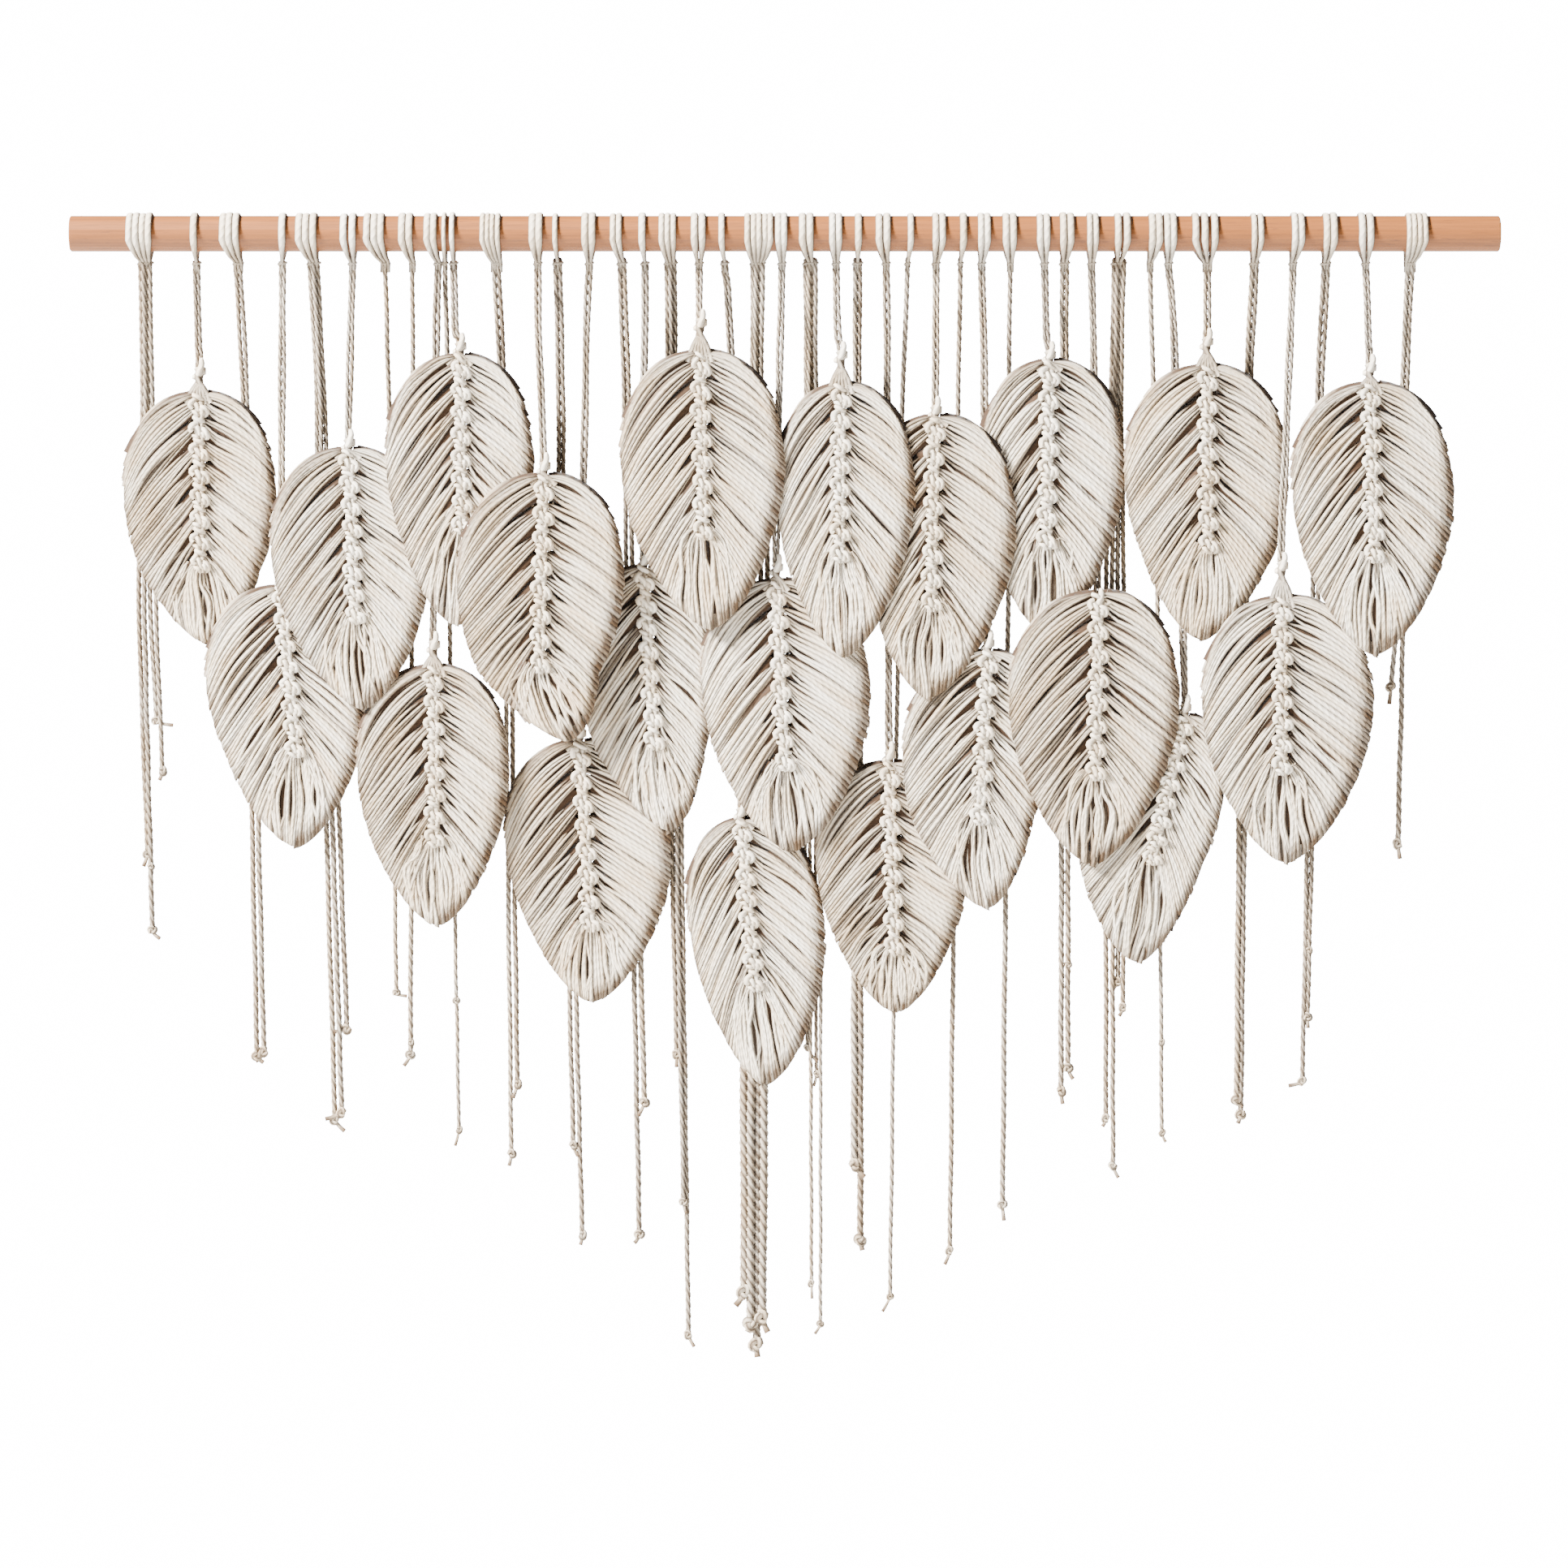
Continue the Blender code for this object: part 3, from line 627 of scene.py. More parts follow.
def leaf_strand(
    yarn, outline, side, points, edge_t, rng, widths,
    shift=0.0, sway=SIDE_SWAY, dip=0.0, painted_shade=0.0, end_shade=1.0,
):
    """One cut strand, from under the spine to the leaf's edge.

    widths are half its width half way and at its end. shift is how far its foot lies above
    its even place, in its bunch, sway how far it wanders, dip how far its foot lies below
    the surface. The last two are the painted shade all along it and how dark the painted
    shade on its cut end is."""
    s = np.linspace(0, 1, STRAND_SAMPLES) ** 1.2
    path = curve(*points, s)
    path[:, 2] += shift * np.clip(1 - s / BUNCH_LENGTH[side], 0, 1) ** 1.2
    sways = rng.normal(0, sway, 2)
    aside = sways[0] * np.sin(math.pi * s) + sways[1] * np.sin(2.6 * math.pi * s)
    path[:, 0] += aside
    path[:, 2] += aside * side
    size = rng.uniform(*STRAND_SIZES)
    lift = rng.normal(0, UNEVEN[side])
    # A sunken strand lies lower and is narrower, with painted shade along it.
    if rng.random() < SUNKEN[side]:
        size *= SUNKEN_SIZE
        lift -= SUNKEN_DEPTH
        painted_shade = max(painted_shade, SUNKEN_SHADE[side] * rng.uniform(0.5, 1))
    rise = np.interp(s, RISE_PLACES, RISE[side]) + lift * np.sin(math.pi * s**0.7)
    dip_end = DIP_REACH[side] / distances(path)[-1]
    dipped = np.interp(s, (0, dip_end / 2, dip_end), (1, 1, 0))
    rise -= dip * dipped
    path[:, 1] = outline.row["depth"] - rise
    halfway, flare = widths
    wide = np.interp(s, WIDTH_PLACES, (size * 1.05, size * 1.15, size * halfway, flare))
    deep = np.interp(s, *STRAND_DEPTH)
    # Painted shade: all along it, at its foot under the spine, and in the notch of a dipped foot.
    hollow = painted_shade + np.interp(s, *FOOT_HOLLOW) + DIP_HOLLOW * dip * dipped
    # Painted shade on the cut end, fainter on the right of the shoulder.
    cut_from, cut_length, least, most = CUT[side]
    cut = np.clip((s - cut_from) / cut_length, 0, 1) * rng.uniform(least, most) * end_shade
    edge = outline.edge_direction(edge_t, side)
    # A left half is painted warmer, as part of its painted shade.
    tint = rng.uniform(-1, 1) - HALF_SHADE_WARMTH[side]
    yarn.tube(path, VIEWER, wide, deep, LEAF_STRAND, tint, hollow=hollow, edge=edge, cut=cut)


def backing_strand(yarn, outline, side, points, edge_t, rng, flare):
    """A strand of the back layer, which fills the leaf and makes its rear."""
    s = np.linspace(0, 1, BACKING_SAMPLES)
    path = curve(*points, s)
    path[:, 0] += rng.normal(0, 0.4) * np.sin(math.pi * s)
    rise = np.interp(s, RISE_PLACES, RISE[side]) * np.clip(s * 5, 0, 1)
    path[:, 1] = outline.row["depth"] - rise + BACKING_SINK + rng.normal(0, 0.25)
    wide = rng.uniform(0.98, 1.1) * np.interp(s, (0, 0.3, 1), (3.0, 2.9, max(2.9, flare)))
    edge = outline.edge_direction(edge_t, side)
    tint = rng.uniform(-1, 1)
    # Painted shade on its cut end, and on its side that faces the front layer.
    cut = np.clip((s - 0.9) / 0.1, 0, 1) * 0.5
    hollow = np.interp(s, *BACKING_HOLLOW)
    yarn.tube(
        path, VIEWER, wide, BACKING_DEPTH, BACKING_STRAND, tint, hollow=hollow, edge=edge, cut=cut
    )


def shade_strand(yarn, outline, side, points, flare):
    """A flat dark strand between the two layers, where a leaf is in its own shade."""
    s = np.linspace(*SHADE_SPAN, SHADE_SAMPLES)
    path = curve(*points, s)
    path[:, 1] = outline.row["depth"] - np.interp(s, RISE_PLACES, RISE[side]) + SHADE_SINK
    wide = np.interp(s, (0, 0.3, 1), (4.2, 4.4, min(max(3.4, flare), 5.5)))
    yarn.tube(path, VIEWER, wide, SHADE_DEPTH, SHADE_STRAND, 0.0, hollow=1.0)


def side_points(outline, side, along, reach):
    """The start, control point and end of a strand, and the end's share of the length.
    along is the place of its foot on the spine, and below 0 for those of the shoulder."""
    row = outline.row
    place = max(along, 0.0)
    foot_t = outline.spine_share * place
    start_x = outline.middle(foot_t) + side * FOOT[side]
    start = np.array((start_x, row["depth"], outline.height(foot_t)))
    if along > 0:
        edge_t = FIRST_END[side] + (LAST_END - FIRST_END[side]) * along ** END_POWER[side]
    else:
        edge_t = FIRST_END[side] * (1 + along)
    end = outline.edge_point(edge_t, side)
    chord = end - start
    end = end + unit(chord) * reach
    upward = np.array((side * abs(chord[2]), 0.0, abs(chord[0])))
    bow = 0.13 if along < 0 else 0.12 * (1 - place) ** 3.5 + 0.07 * place**4
    control = (start + end) / 2 + 2 * bow * upward
    return (start, control, end), edge_t


def half_width(gap, lead, most):
    """Half the width of a strand that fills a gap to its neighbour, within its limits."""
    return min(max(np.linalg.norm(np.cross(gap, lead)) * FILL, LEAST_HALF_WIDTH), most)


def side_strands(yarn, outline, side, rng, shade):
    """The strands that run out and down from the spine's knots on one side, each as wide
    at its end as the room between its neighbours. Those of the shoulder, over the first
    knot, have numbers below 0. shade is painted shade on all of them."""
    count = SPINE_KNOTS * STRANDS_PER_KNOT
    pitch = outline.spine_share * outline.length / count
    bunch, raised = BUNCH[side]
    numbers = range(-SHOULDER_STRANDS, count + 3)
    shoulder = SHOULDER_STRANDS / SHOULDER_SHARE
    places = [(i + 0.5) / (count if i >= 0 else shoulder) for i in numbers]
    ends = [side_points(outline, side, along, 0.0)[0] for along in places]
    for i, along, here, after in zip(numbers, places, ends, ends[1:]):
        lead = unit(here[2] - here[0])
        between = ((after[0] - here[0]) + 2 * (after[1] - here[1]) + (after[2] - here[2])) / 4
        halfway = half_width(between, lead, MOST_HALFWAY)
        flare = half_width(after[2] - here[2], lead, MOST_FLARE)
        if i < count:
            points, edge_t = side_points(outline, side, along, rng.normal(0, FEATHER[side]))
            shift, dip, painted_shade, end_shade = 0.0, 0.0, shade, 1.0
            if i < 0:
                # Painted shade on the shoulder, deepest at its top, and, on the right, fainter
                # painted shade on its cut ends.
                painted_shade += SHOULDER_SHADE[side] * min(1.0, (1 - i) / SHOULDER_STRANDS)
                end_shade = SHOULDER_END_SHADE[side]
            else:
                place = i % STRANDS_PER_KNOT - (STRANDS_PER_KNOT - 1) / 2
                shift = place * pitch * bunch + raised
            if i > 0 and i % STRANDS_PER_KNOT == 0:
                dip = DIP[side]
            widths = (halfway, flare)
            leaf_strand(
                yarn, outline, side, points, edge_t, rng, widths,
                shift=shift, dip=dip, painted_shade=painted_shade, end_shade=end_shade,
            )
        if i % 2:
            points, edge_t = side_points(outline, side, along, BACKING_REACH)
            backing_strand(yarn, outline, side, points, edge_t, rng, 2 * flare)
        if i % 3 == 0 and i > -SHOULDER_STRANDS / 2:
            shade_strand(yarn, outline, side, here, 3 * flare)


def fan_points(outline, across):
    """The start, control point and end of a strand of the fan, and its end's share. across
    runs from -1 to 1."""
    row = outline.row
    side = -1 if across < 0 else 1
    hub_t = outline.spine_share
    shares = np.linspace(1.0, LAST_END, 40)
    widths = [side * (outline.edge(t, side) - outline.middle(t)) for t in shares]
    edge_t = np.interp(abs(across) * widths[-1], widths, shares)
    end = outline.edge_point(edge_t, side)
    start = np.array((
        outline.middle(hub_t) + across * FAN_HALF_WIDTH,
        row["depth"],
        outline.height(hub_t) + 4 + 4 * abs(across),
    ))
    bulge = outline.middle(hub_t) + across * widths[-1] * FAN_BULGE
    control = np.array((bulge, row["depth"], start[2] + (end[2] - start[2]) * 0.42))
    return (start, control, end), edge_t, side


def fan_strands(yarn, outline, rng):
    """The strands that fan out under the last knot, as far as the tip."""
    for i in range(-FAN_STRANDS, FAN_STRANDS + 1):
        across = (i + rng.normal(0, 0.2)) / (FAN_STRANDS + 0.5)
        points, edge_t, side = fan_points(outline, max(-0.99, min(across, 0.99)))
        dip = FAN_DIP if i in FAN_NOTCHES else 0.0
        leaf_strand(yarn, outline, side, points, edge_t, rng, FAN_WIDTHS, sway=FAN_SWAY, dip=dip)
        if i % 2:
            backing_strand(yarn, outline, side, points, edge_t, rng, FAN_FLARE)
        if i % 3 == 0:
            shade_strand(yarn, outline, side, points, FAN_FLARE)


def spine(yarn, outline, rng):
    """The column of square knots round its core cords, and the plainer bars of its back."""
    row = outline.row
    depth = row["depth"]
    shares = np.linspace(0.03, outline.spine_share, 14)
    for across in CORE_PLACES:
        path = [(outline.middle(t) + across, depth - CORE_RISE, outline.height(t)) for t in shares]
        tint = rng.uniform(-1, 1)
        # Painted shade on the core cords, which lie under the knots.
        yarn.tube(path, VIEWER, CORE_RADIUS, CORE_RADIUS, KNOT_STRAND, tint, hollow=0.2)
    squeeze = outline.spine_share * outline.length / SPINE_KNOTS / KNOT_HEIGHT
    stretch = np.array((1.0, -1.0, squeeze))
    for k in range(SPINE_KNOTS):
        t = outline.spine_share * (k + 0.5) / SPINE_KNOTS
        centre = np.array((outline.middle(t), depth, outline.height(t)))
        wander = rng.normal(0, 0.3, 3)
        for radius, *points in KNOT_CORDS:
            placed = centre + wander + np.array(points) * stretch
            path = smooth(placed + rng.normal(0, 0.28, (len(points), 3)), FINE_STEP)
            size = radius * rng.uniform(0.9, 1.08)
            tint = rng.uniform(-0.6, 1)
            yarn.tube(path, carried(path, VIEWER), size, size, KNOT_STRAND, tint)
        for height in BACK_HEIGHTS:
            placed = [centre + (across, back, height * squeeze) for across, back in BACK_POINTS]
            path = smooth(placed, BROAD_STEP)
            yarn.tube(path, carried(path, -VIEWER), *BACK_RADII, KNOT_STRAND, rng.uniform(-0.6, 1))


def wrap(yarn, row, rng):
    """The cords laid over the rod, side by side, whose ends draw together under it, where
    a turn of cord binds them."""
    turns = int(row["turns"])
    room = row["wrap_right"] - row["wrap_left"]
    wide = min(room / max(turns, 1.4) / 2 * TURN_OVERLAP, TURN_RADIUS)
    round_rod = ROD_RADIUS + TURN_DEPTH * 0.8
    spacing = FEW_SPACING if turns < MANY_TURNS else MANY_SPACING
    angles = np.radians(np.linspace(-TURN_SWEEP, TURN_SWEEP, TURN_SAMPLES))
    for i in range(turns):
        x = row["wrap_left"] + (i + 0.5) * room / turns + rng.normal(0, 0.15)
        low_x = row["hang_x"] + (i - (turns - 1) / 2) * spacing
        height = round_rod + rng.normal(0, 0.2)
        rear = [
            (low_x, BINDING_Y + 1.6, BINDING_Z - 3),
            (low_x, BINDING_Y + 2.0, BINDING_Z),
            ((x + low_x) / 2, 9.6, -14.6),
        ]
        over = [(x, height * math.sin(-a), height * math.cos(a)) for a in angles]
        front = [
            (low_x + (x - low_x) * 0.45, -5.2, -15.4),
            (low_x, BINDING_Y - 2.2, BINDING_Z),
            (low_x, BINDING_Y + 0.6, BINDING_Z - 7),
        ]
        path = smooth(rear + over + front, CORD_STEP)
        low = np.clip((-path[:, 2] - 7) / 10, 0, 1)
        half = wide + (TURN_LOW_RADIUS - wide) * low
        outward = path * (0, 1, 1)
        # Painted shade where the turns draw together under the rod, and where they meet.
        yarn.tube(path, outward, half, TURN_DEPTH, TURN, rng.uniform(0.2, 1), hollow=low * 0.45)


def binding(yarn, hang_x, reach, rng):
    """The turn of cord that binds the wrap to what hangs from it. reach is how far the
    cords in it lie to either side."""
    angle = np.linspace(-0.5 * math.pi, 1.7 * math.pi, 20)
    x = hang_x + (reach + 0.3) * np.cos(angle)
    y = BINDING_Y + 0.4 - 3.2 * np.sin(angle)
    z = BINDING_Z - 1 + np.linspace(1.2, -1.2, len(angle))
    path = np.column_stack((x, y, z))
    # Painted shade all along the binding, under the rod.
    yarn.tube(path, carried(path, UP), 1.0, 1.0, KNOT_STRAND, rng.uniform(-0.5, 1), hollow=0.25)


def cord(yarn, stations, rng, radius, low_radius, sway, shade):
    """A hanging twisted cord through a few stations, with its natural unevenness."""
    path = smooth(stations, CORD_STEP)
    along = distances(path)
    ease = np.clip(np.minimum(along, along[-1] - along) / SWAY_EASE, 0, 1)
    for axis in (0, 1):
        wave = rng.uniform(*WAVE_LENGTHS)
        phase = rng.uniform(*ANY_PHASE)
        path[:, axis] += ease * sway * np.sin(2 * math.pi * along / wave + phase)
    roll = 2 * math.pi * along / TWIST_PITCH + rng.uniform(*ANY_PHASE)
    radius = rng.uniform(0.94, 1.06) * np.interp(path[:, 2], SWELL_HEIGHTS, (low_radius, radius))
    yarn.tube(path, VIEWER, radius, radius, PLIED, rng.uniform(-1, 1), hollow=shade, roll=roll)
    return path


def overhand(yarn, centre, swell, rng):
    """A small overhand knot. swell is its size against that of a thin cord's knot."""
    turn = rng.uniform(0, 2 * math.pi)
    t = np.linspace(KNOT_GAP, 2 * math.pi - KNOT_GAP, 30)
    reach = 1.0 + 0.5 * np.cos(3 * t)
    x = reach * np.cos(2 * t + turn)
    z = 1.15 * reach * np.sin(2 * t + turn)
    y = 0.8 * np.sin(3 * t)
    path = np.column_stack((x, y, z)) * KNOT_SIZE * swell + centre
    thick = KNOT_CORD_RADIUS * swell
    normals = carried(path, (0.3, -0.8, 0.5))
    # Painted shade all along the knot's cord.
    yarn.tube(path, normals, thick, thick, PLIED, rng.uniform(-1, 0.3), hollow=0.3, roll=t)


def tail(yarn, centre, swell, rng):
    """The cut end of a cord, which sticks out of its last knot."""
    lean = rng.normal(0, TAIL_LEAN)
    length = rng.uniform(*TAIL_LENGTHS)
    direction = np.array((math.sin(lean), -0.1, -math.cos(lean)))
    end = centre + direction * length + (lean, 0, 0)
    path = smooth([centre, centre + direction * length * 0.6, end], 1.8)
    flare = np.linspace(1.0, 1.25, len(path)) * swell
    # Painted shade all along the tail, and more towards its cut tip.
    cut = np.linspace(0, 1, len(path))
    yarn.tube(path, VIEWER, flare, flare, KNOT_STRAND, rng.uniform(-1, 0.5), hollow=0.3, cut=cut)


def gathering_knot(yarn, row, rng):
    """The knot over a leaf: its cords draw together, a turn holds them, an end pokes up
    beside them, and below it they spread towards the first square knot."""
    centre = np.array((row["top_x"], row["depth"], row["knot_z"]))
    angle = np.linspace(-0.2 * math.pi, 2.1 * math.pi, 22)
    x = centre[0] + 3.2 * np.cos(angle)
    y = centre[1] - 3.0 * np.sin(angle)
    z = centre[2] - 1.5 + 2.4 * np.cos(angle + 0.5) - 0.3 * angle
    path = np.column_stack((x, y, z))
    yarn.tube(path, carried(path, UP), 2.0, 2.0, KNOT_STRAND, rng.uniform(-0.2, 1))
    path = smooth([centre + place for place in THUMB], FINE_STEP)
    swell = np.interp(np.linspace(0, 1, len(path)), *THUMB_RADII)
    yarn.tube(path, VIEWER, swell, swell, KNOT_STRAND, 1.0)
    foot = row["top_z"] - NECK_END
    for across in NECK_PLACES:
        points = [
            centre + (across * 0.8, -0.4, 2.0),
            centre + (across * -0.5, -2.0 - 0.5 * across, -4.5),
            centre + (across * 1.9, -2.6, -0.5 * (centre[2] - foot) - 2),
            np.array((row["top_x"] + across * 3.4, row["depth"] - 2.6, foot + 0.8 * abs(across))),
        ]
        path = smooth(points, 2.2)
        # Painted shade along the cord, deepest just under the knot.
        painted_shade = np.interp(np.linspace(0, 1, len(path)), *NECK_HOLLOW)
        yarn.tube(path, VIEWER, *NECK_RADII, KNOT_STRAND, rng.uniform(-1, 0.5), hollow=painted_shade)


def leaf_cords(yarn, row, rng):
    """The pair of cords that hangs a leaf, from its binding to its gathering knot."""
    x, cord_y, leaf_y = row["hang_x"], row["cord_depth"], row["depth"]
    settle = SETTLE_DROP * min(1, (TOP_KNOT_HALF_HEIGHT - row["knot_z"]) / SETTLE_ROOM)
    stations = [
        np.array((x, BINDING_Y, BINDING_Z + 0.5)),
        np.array((x, BINDING_Y, BINDING_Z - 5)),
        np.array((x + (row["top_x"] - x) * SETTLE_SHARE, cord_y, BINDING_Z - settle)),
        np.array((row["top_x"], cord_y, row["knot_z"] + 2 * TOP_KNOT_HALF_HEIGHT)),
        np.array((row["top_x"], leaf_y, row["knot_z"] + 0.5 * TOP_KNOT_HALF_HEIGHT)),
        np.array((row["top_x"], leaf_y, row["top_z"] - NECK_END)),
    ]
    kept = [stations[0]]
    for station in stations[1:]:
        if station[2] < kept[-1][2] - 3:
            kept.append(station)
    for side in (-1, 1):
        placed = [station + (side * PAIR_SPACING / 2, 0, 0) for station in kept]
        shade = rng.uniform(*CORD_SHADES)
        cord(yarn, placed, rng, LEAF_CORD_RADIUS, LEAF_CORD_RADIUS, LEAF_CORD_SWAY, shade)


def build_leaf(row, material, rng, warmth, shade):
    yarn = Yarn(warmth)
    outline = Outline(row)
    wrap(yarn, row, rng)
    binding(yarn, row["hang_x"], PAIR_REACH, rng)
    leaf_cords(yarn, row, rng)
    gathering_knot(yarn, row, rng)
    side_strands(yarn, outline, -1, rng, shade)
    side_strands(yarn, outline, 1, rng, 0.0)
    fan_strands(yarn, outline, rng)
    spine(yarn, outline, rng)
    return yarn.mesh_object(row["name"] + "_cotton", material)


def build_drop(row, strand_rows, material, rng):
    yarn = Yarn(DROP_WARMTH)
    count = len(strand_rows)
    wrap(yarn, row, rng)
    spacing = CORD_SPACING[count]
    binding(yarn, row["hang_x"], spacing * (count - 1) / 2 + CORD_REACH, rng)
    gathered_x = (row["hang_x"] + np.mean([strand["middle_x"] for strand in strand_rows])) / 2
    ends_x = np.mean([strand["end_x"] for strand in strand_rows])
    swell = max(1.0, row["low_radius"] / THIN_CORD)
    for i, strand in enumerate(strand_rows):
        aside = spacing * (i - (count - 1) / 2)
        layer = LAYER_STEP * (i % 2) if count > 2 else 0.0
        end_x = ends_x + (strand["end_x"] - ends_x) * CLOSE_ENDS
        stations = [
            (row["hang_x"] + aside * 0.8, BINDING_Y - layer, BINDING_Z + 0.5),
            (row["hang_x"] + aside, BINDING_Y - layer, BINDING_Z - 5),
            (gathered_x + aside, DROP_DEPTH - layer, GATHERED_Z),
            (strand["middle_x"], DROP_DEPTH - layer, MIDDLE_Z),
            (end_x, DROP_DEPTH - layer, strand["end_z"] + 9),
        ]
        shade = rng.uniform(*CORD_SHADES)
        low_radius = row["low_radius"]
        path = cord(yarn, stations, rng, DROP_CORD_RADIUS, low_radius, DROP_CORD_SWAY, shade)
        overhand(yarn, path[-1] + (0, 0, 1), swell, rng)
        tail(yarn, path[-1], swell, rng)
        if strand["knot_z"]:
            at = path[np.argmin(abs(path[:, 2] - strand["knot_z"]))]
            overhand(yarn, at, 1.0, rng)
    return yarn.mesh_object(row["name"] + "_cotton", material)


class Tree:
    """A node tree, with a short call for each kind of node that is used more than once."""

    def __init__(self, tree):
        self.nodes = tree.nodes
        self.links = tree.links

    def plug(self, socket, value):
        """Links an input to another node's output, or sets it to a plain value."""
        if hasattr(value, "links"):
            self.links.new(value, socket)
        else:
            socket.default_value = value

    def math(self, operation, *values):
        node = self.nodes.new("ShaderNodeMath")
        node.operation = operation
        for socket, value in zip(node.inputs, values):
            self.plug(socket, value)
        return node.outputs[0]

    def mix(self, factor, first, second):
        node = self.nodes.new("ShaderNodeMix")
        node.data_type = "RGBA"
        for index, value in ((0, factor), (6, first), (7, second)):
            self.plug(node.inputs[index], value)
        return node.outputs[2]

    def attribute(self, title):
        node = self.nodes.new("ShaderNodeAttribute")
        node.attribute_name = title
        return node.outputs["Fac"]

    def places(self):
        return self.nodes.new("ShaderNodeTexCoord").outputs["Object"]

    def stretched(self, scale):
        """The object's own coordinates, scaled along each axis."""
        node = self.nodes.new("ShaderNodeMapping")
        node.inputs["Scale"].default_value = scale
        self.links.new(self.places(), node.inputs["Vector"])
        return node.outputs[0]

    def noise(self, vector, scale=1.0, detail=2.0, distortion=0.0):
        node = self.nodes.new("ShaderNodeTexNoise")
        node.inputs["Scale"].default_value = scale
        node.inputs["Detail"].default_value = detail
        node.inputs["Distortion"].default_value = distortion
        self.links.new(vector, node.inputs["Vector"])
        return node.outputs["Fac"]

    def bump(self, shader, height, strength):
        node = self.nodes.new("ShaderNodeBump")
        node.inputs["Strength"].default_value = strength
        node.inputs["Distance"].default_value = BUMP_HEIGHT
        self.links.new(height, node.inputs["Height"])
        self.links.new(node.outputs[0], shader.inputs["Normal"])


def new_material(name, finish):
    """A material with plain values for its finish, its node tree and its shader."""
    material = bpy.data.materials.new(name)
    material.use_nodes = True
    shader = material.node_tree.nodes["Principled BSDF"]
    for title, value in finish.items():
        shader.inputs[title].default_value = value
    return material, Tree(material.node_tree), shader


def cotton_material():
    """Undyed cotton: ivory, with warmer and darker painted shade in the hollows, in the
    valleys of its plies and on cut ends, and with the twist of its plies and its fibres
    raised."""
    material, tree, shader = new_material("cotton", COTTON_FINISH)
    lay = tree.nodes.new("ShaderNodeUVMap")
    lay.uv_map = "lay"
    parts = tree.nodes.new("ShaderNodeSeparateXYZ")
    tree.links.new(lay.outputs[0], parts.inputs[0])
    around, along = parts.outputs[0], parts.outputs[1]
    tint = tree.attribute("tint")

    turns = tree.math("MULTIPLY", along, PLY_RIDGES)
    turns = tree.math("MULTIPLY_ADD", tint, 7.0, turns)
    phase = tree.math("MULTIPLY_ADD", around, 3.0, turns)
    wave = tree.math("SINE", tree.math("MULTIPLY", phase, math.pi))
    ridge = tree.math("ABSOLUTE", wave)
    valley = tree.math("MULTIPLY", tree.math("SUBTRACT", 1.0, ridge), tree.attribute("twist"))

    stretch = tree.nodes.new("ShaderNodeCombineXYZ")
    tree.links.new(tree.math("MULTIPLY", around, 22.0), stretch.inputs[0])
    tree.links.new(tree.math("MULTIPLY_ADD", along, 420.0, around), stretch.inputs[1])
    tree.links.new(tree.math("MULTIPLY", tint, 40.0), stretch.inputs[2])
    fibres = tree.noise(stretch.outputs[0], detail=3.0)
    patches = tree.noise(tree.places(), scale=38.0)

    blend = tree.math("MULTIPLY_ADD", tint, 0.3, patches)
    blend = tree.math("MULTIPLY_ADD", fibres, 0.9, blend)
    blend = tree.math("SUBTRACT", blend, 0.45)
    colour = tree.mix(blend, COTTON_WARM, COTTON_PALE)
    # Painted shade: in the valleys of the plies, in the hollows between and under cords, and on the
    # cut ends.
    colour = tree.mix(tree.math("MULTIPLY", valley, 0.12), colour, COTTON_SHADED)
    colour = tree.mix(tree.attribute("hollow"), colour, COTTON_PAINTED_SHADE)
    colour = tree.mix(tree.attribute("cut"), colour, COTTON_CUT_SHADE)
    tree.links.new(colour, shader.inputs["Base Color"])

    height = tree.math("SUBTRACT", tree.math("MULTIPLY", fibres, 0.6), valley)
    tree.bump(shader, height, COTTON_BUMP)
    return material


def beech_material():
    """Bare sanded beech, with its grain and short dark flecks along the rod."""
    material, tree, shader = new_material("beech", BEECH_FINISH)
    grain = tree.noise(tree.stretched(GRAIN_SCALE), detail=6.0, distortion=0.6)
    flecks = tree.noise(tree.stretched(FLECK_SCALE), detail=1.0)
    broad = tree.noise(tree.stretched(BROAD_SCALE))
    colour = tree.mix(grain, BEECH_DARK, BEECH_LIGHT)
    colour = tree.mix(tree.math("MULTIPLY", broad, 0.5), colour, BEECH_BROAD)
    fleck = tree.math("GREATER_THAN", flecks, FLECK_LIMIT)
    colour = tree.mix(tree.math("MULTIPLY", fleck, 0.5), colour, BEECH_FLECK)
    tree.links.new(colour, shader.inputs["Base Color"])
    tree.bump(shader, grain, BEECH_BUMP)
    return material


def build_floor():
    """A plain pale floor far under the rod."""
    reach = FLOOR_REACH
    mesh = bpy.data.meshes.new("floor")
    corners = [(-reach, -reach), (reach, -reach), (reach, reach), (-reach, reach)]
    mesh.from_pydata([(x, y, FLOOR_Z) for x, y in corners], [], [(0, 1, 2, 3)])
    mesh.materials.append(new_material("pale_floor", FLOOR_FINISH)[0])
    floor = bpy.data.objects.new("floor", mesh)
    bpy.context.scene.collection.objects.link(floor)


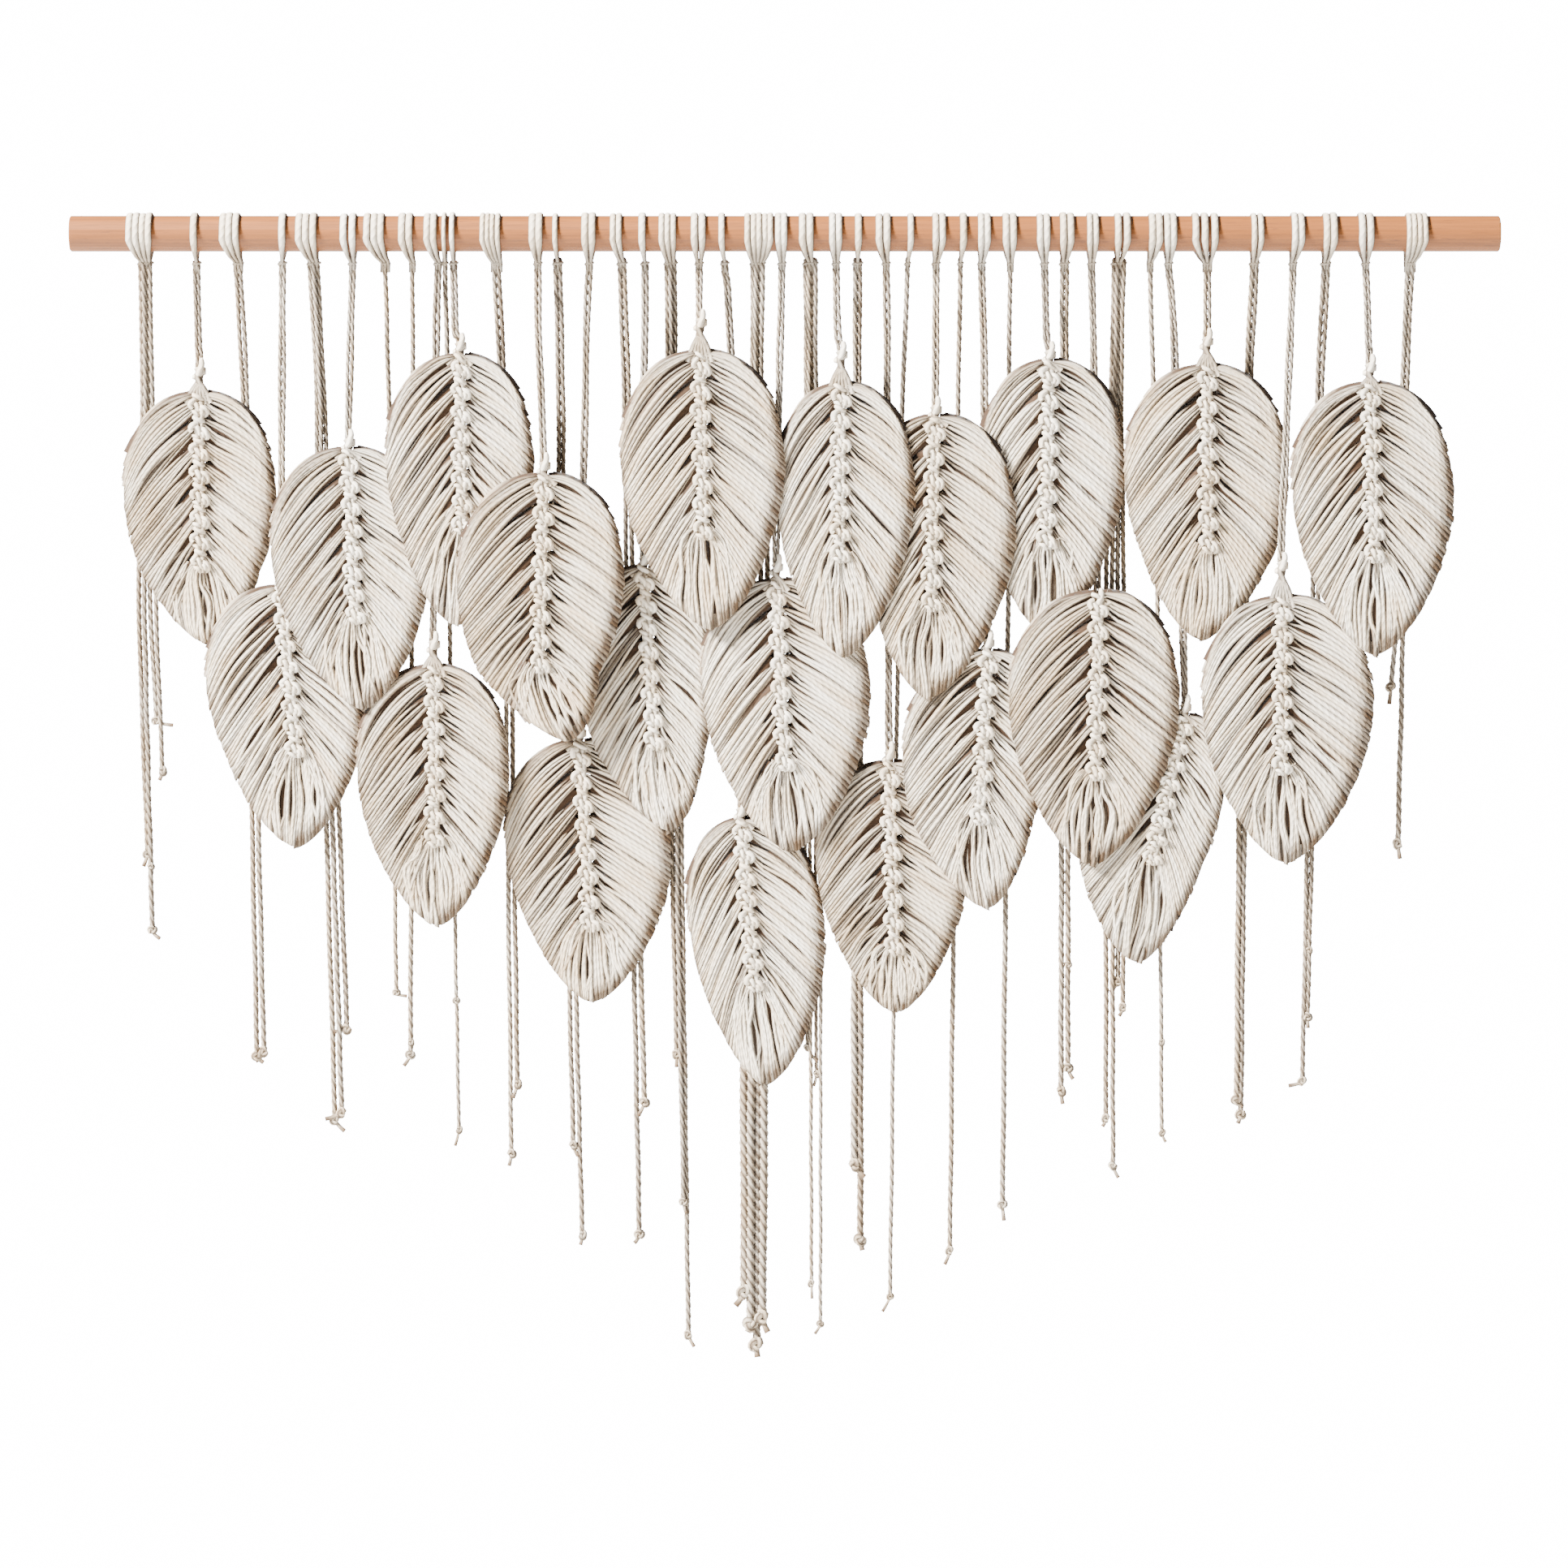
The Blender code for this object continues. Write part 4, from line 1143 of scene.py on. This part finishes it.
def build_light():
    """The white room, and the lamp."""
    world = bpy.data.worlds.new("studio")
    world.use_nodes = True
    tree = Tree(world.node_tree)
    seen = tree.nodes.new("ShaderNodeLightPath").outputs["Is Camera Ray"]
    strength = tree.math("MULTIPLY_ADD", seen, BACKDROP_STRENGTH - FILL_STRENGTH, FILL_STRENGTH)
    background = tree.nodes["Background"]
    background.inputs["Color"].default_value = (1.0, 1.0, 1.0, 1)
    tree.links.new(strength, background.inputs["Strength"])
    bpy.context.scene.world = world

    data = bpy.data.lights.new("key", "AREA")
    data.shape = "DISK"
    data.size = LAMP_SIZE
    data.energy = LAMP_POWER
    data.color = LAMP_COLOUR
    lamp = bpy.data.objects.new("key", data)
    lamp.location = LAMP_PLACE
    aim = Vector(LAMP_TARGET) - Vector(LAMP_PLACE)
    lamp.rotation_euler = aim.to_track_quat("-Z", "Y").to_euler()
    bpy.context.scene.collection.objects.link(lamp)


def build_camera():
    """A camera that looks straight along +Y, and frames the piece as the photograph does."""
    middle = PHOTO_SIDE / 2
    data = bpy.data.cameras.new("camera")
    data.sensor_width = SENSOR
    data.lens = SENSOR * CAMERA_DISTANCE / (PHOTO_SIDE * PIXEL)
    data.clip_end = CAMERA_SIGHT * MM
    camera = bpy.data.objects.new("camera", data)
    x = (middle - ORIGIN_PIXEL[0]) * PIXEL
    z = (ORIGIN_PIXEL[1] - middle) * PIXEL
    camera.location = Vector((x, -CAMERA_DISTANCE, z)) * MM
    camera.rotation_euler = (math.pi / 2, 0, 0)
    bpy.context.scene.collection.objects.link(camera)
    bpy.context.scene.camera = camera


def build_pieces():
    """Each leaf and drop, with the name of the node that it stands for."""
    cotton = cotton_material()
    strands = read_table(STRAND_COLUMNS, STRAND_ROWS)
    pieces = []
    for number, row in enumerate(read_table(LEAF_COLUMNS, LEAF_ROWS), 1):
        rng = np.random.default_rng(LEAF_SEED + number)
        warmth = WARM if number in WARM_LEAVES else COOL
        # Painted shade on the leaf's left half.
        shade = LEFT_SHADE[number in SHADED_LEAVES]
        pieces.append((build_leaf(row, cotton, rng, warmth, shade), row["name"]))
    for number, row in enumerate(read_table(DROP_COLUMNS, DROP_ROWS), 1):
        rng = np.random.default_rng(DROP_SEED + number)
        own = [strand for strand in strands if strand["drop"] == row["name"]]
        pieces.append((build_drop(row, own, cotton, rng), row["name"]))
    return pieces


def main():
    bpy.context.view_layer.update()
    for piece, node in build_pieces():
        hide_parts(node)
        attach(piece, "root")
    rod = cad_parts["rod"]
    rod.data.materials.clear()
    rod.data.materials.append(beech_material())
    build_floor()
    build_light()
    build_camera()


main()
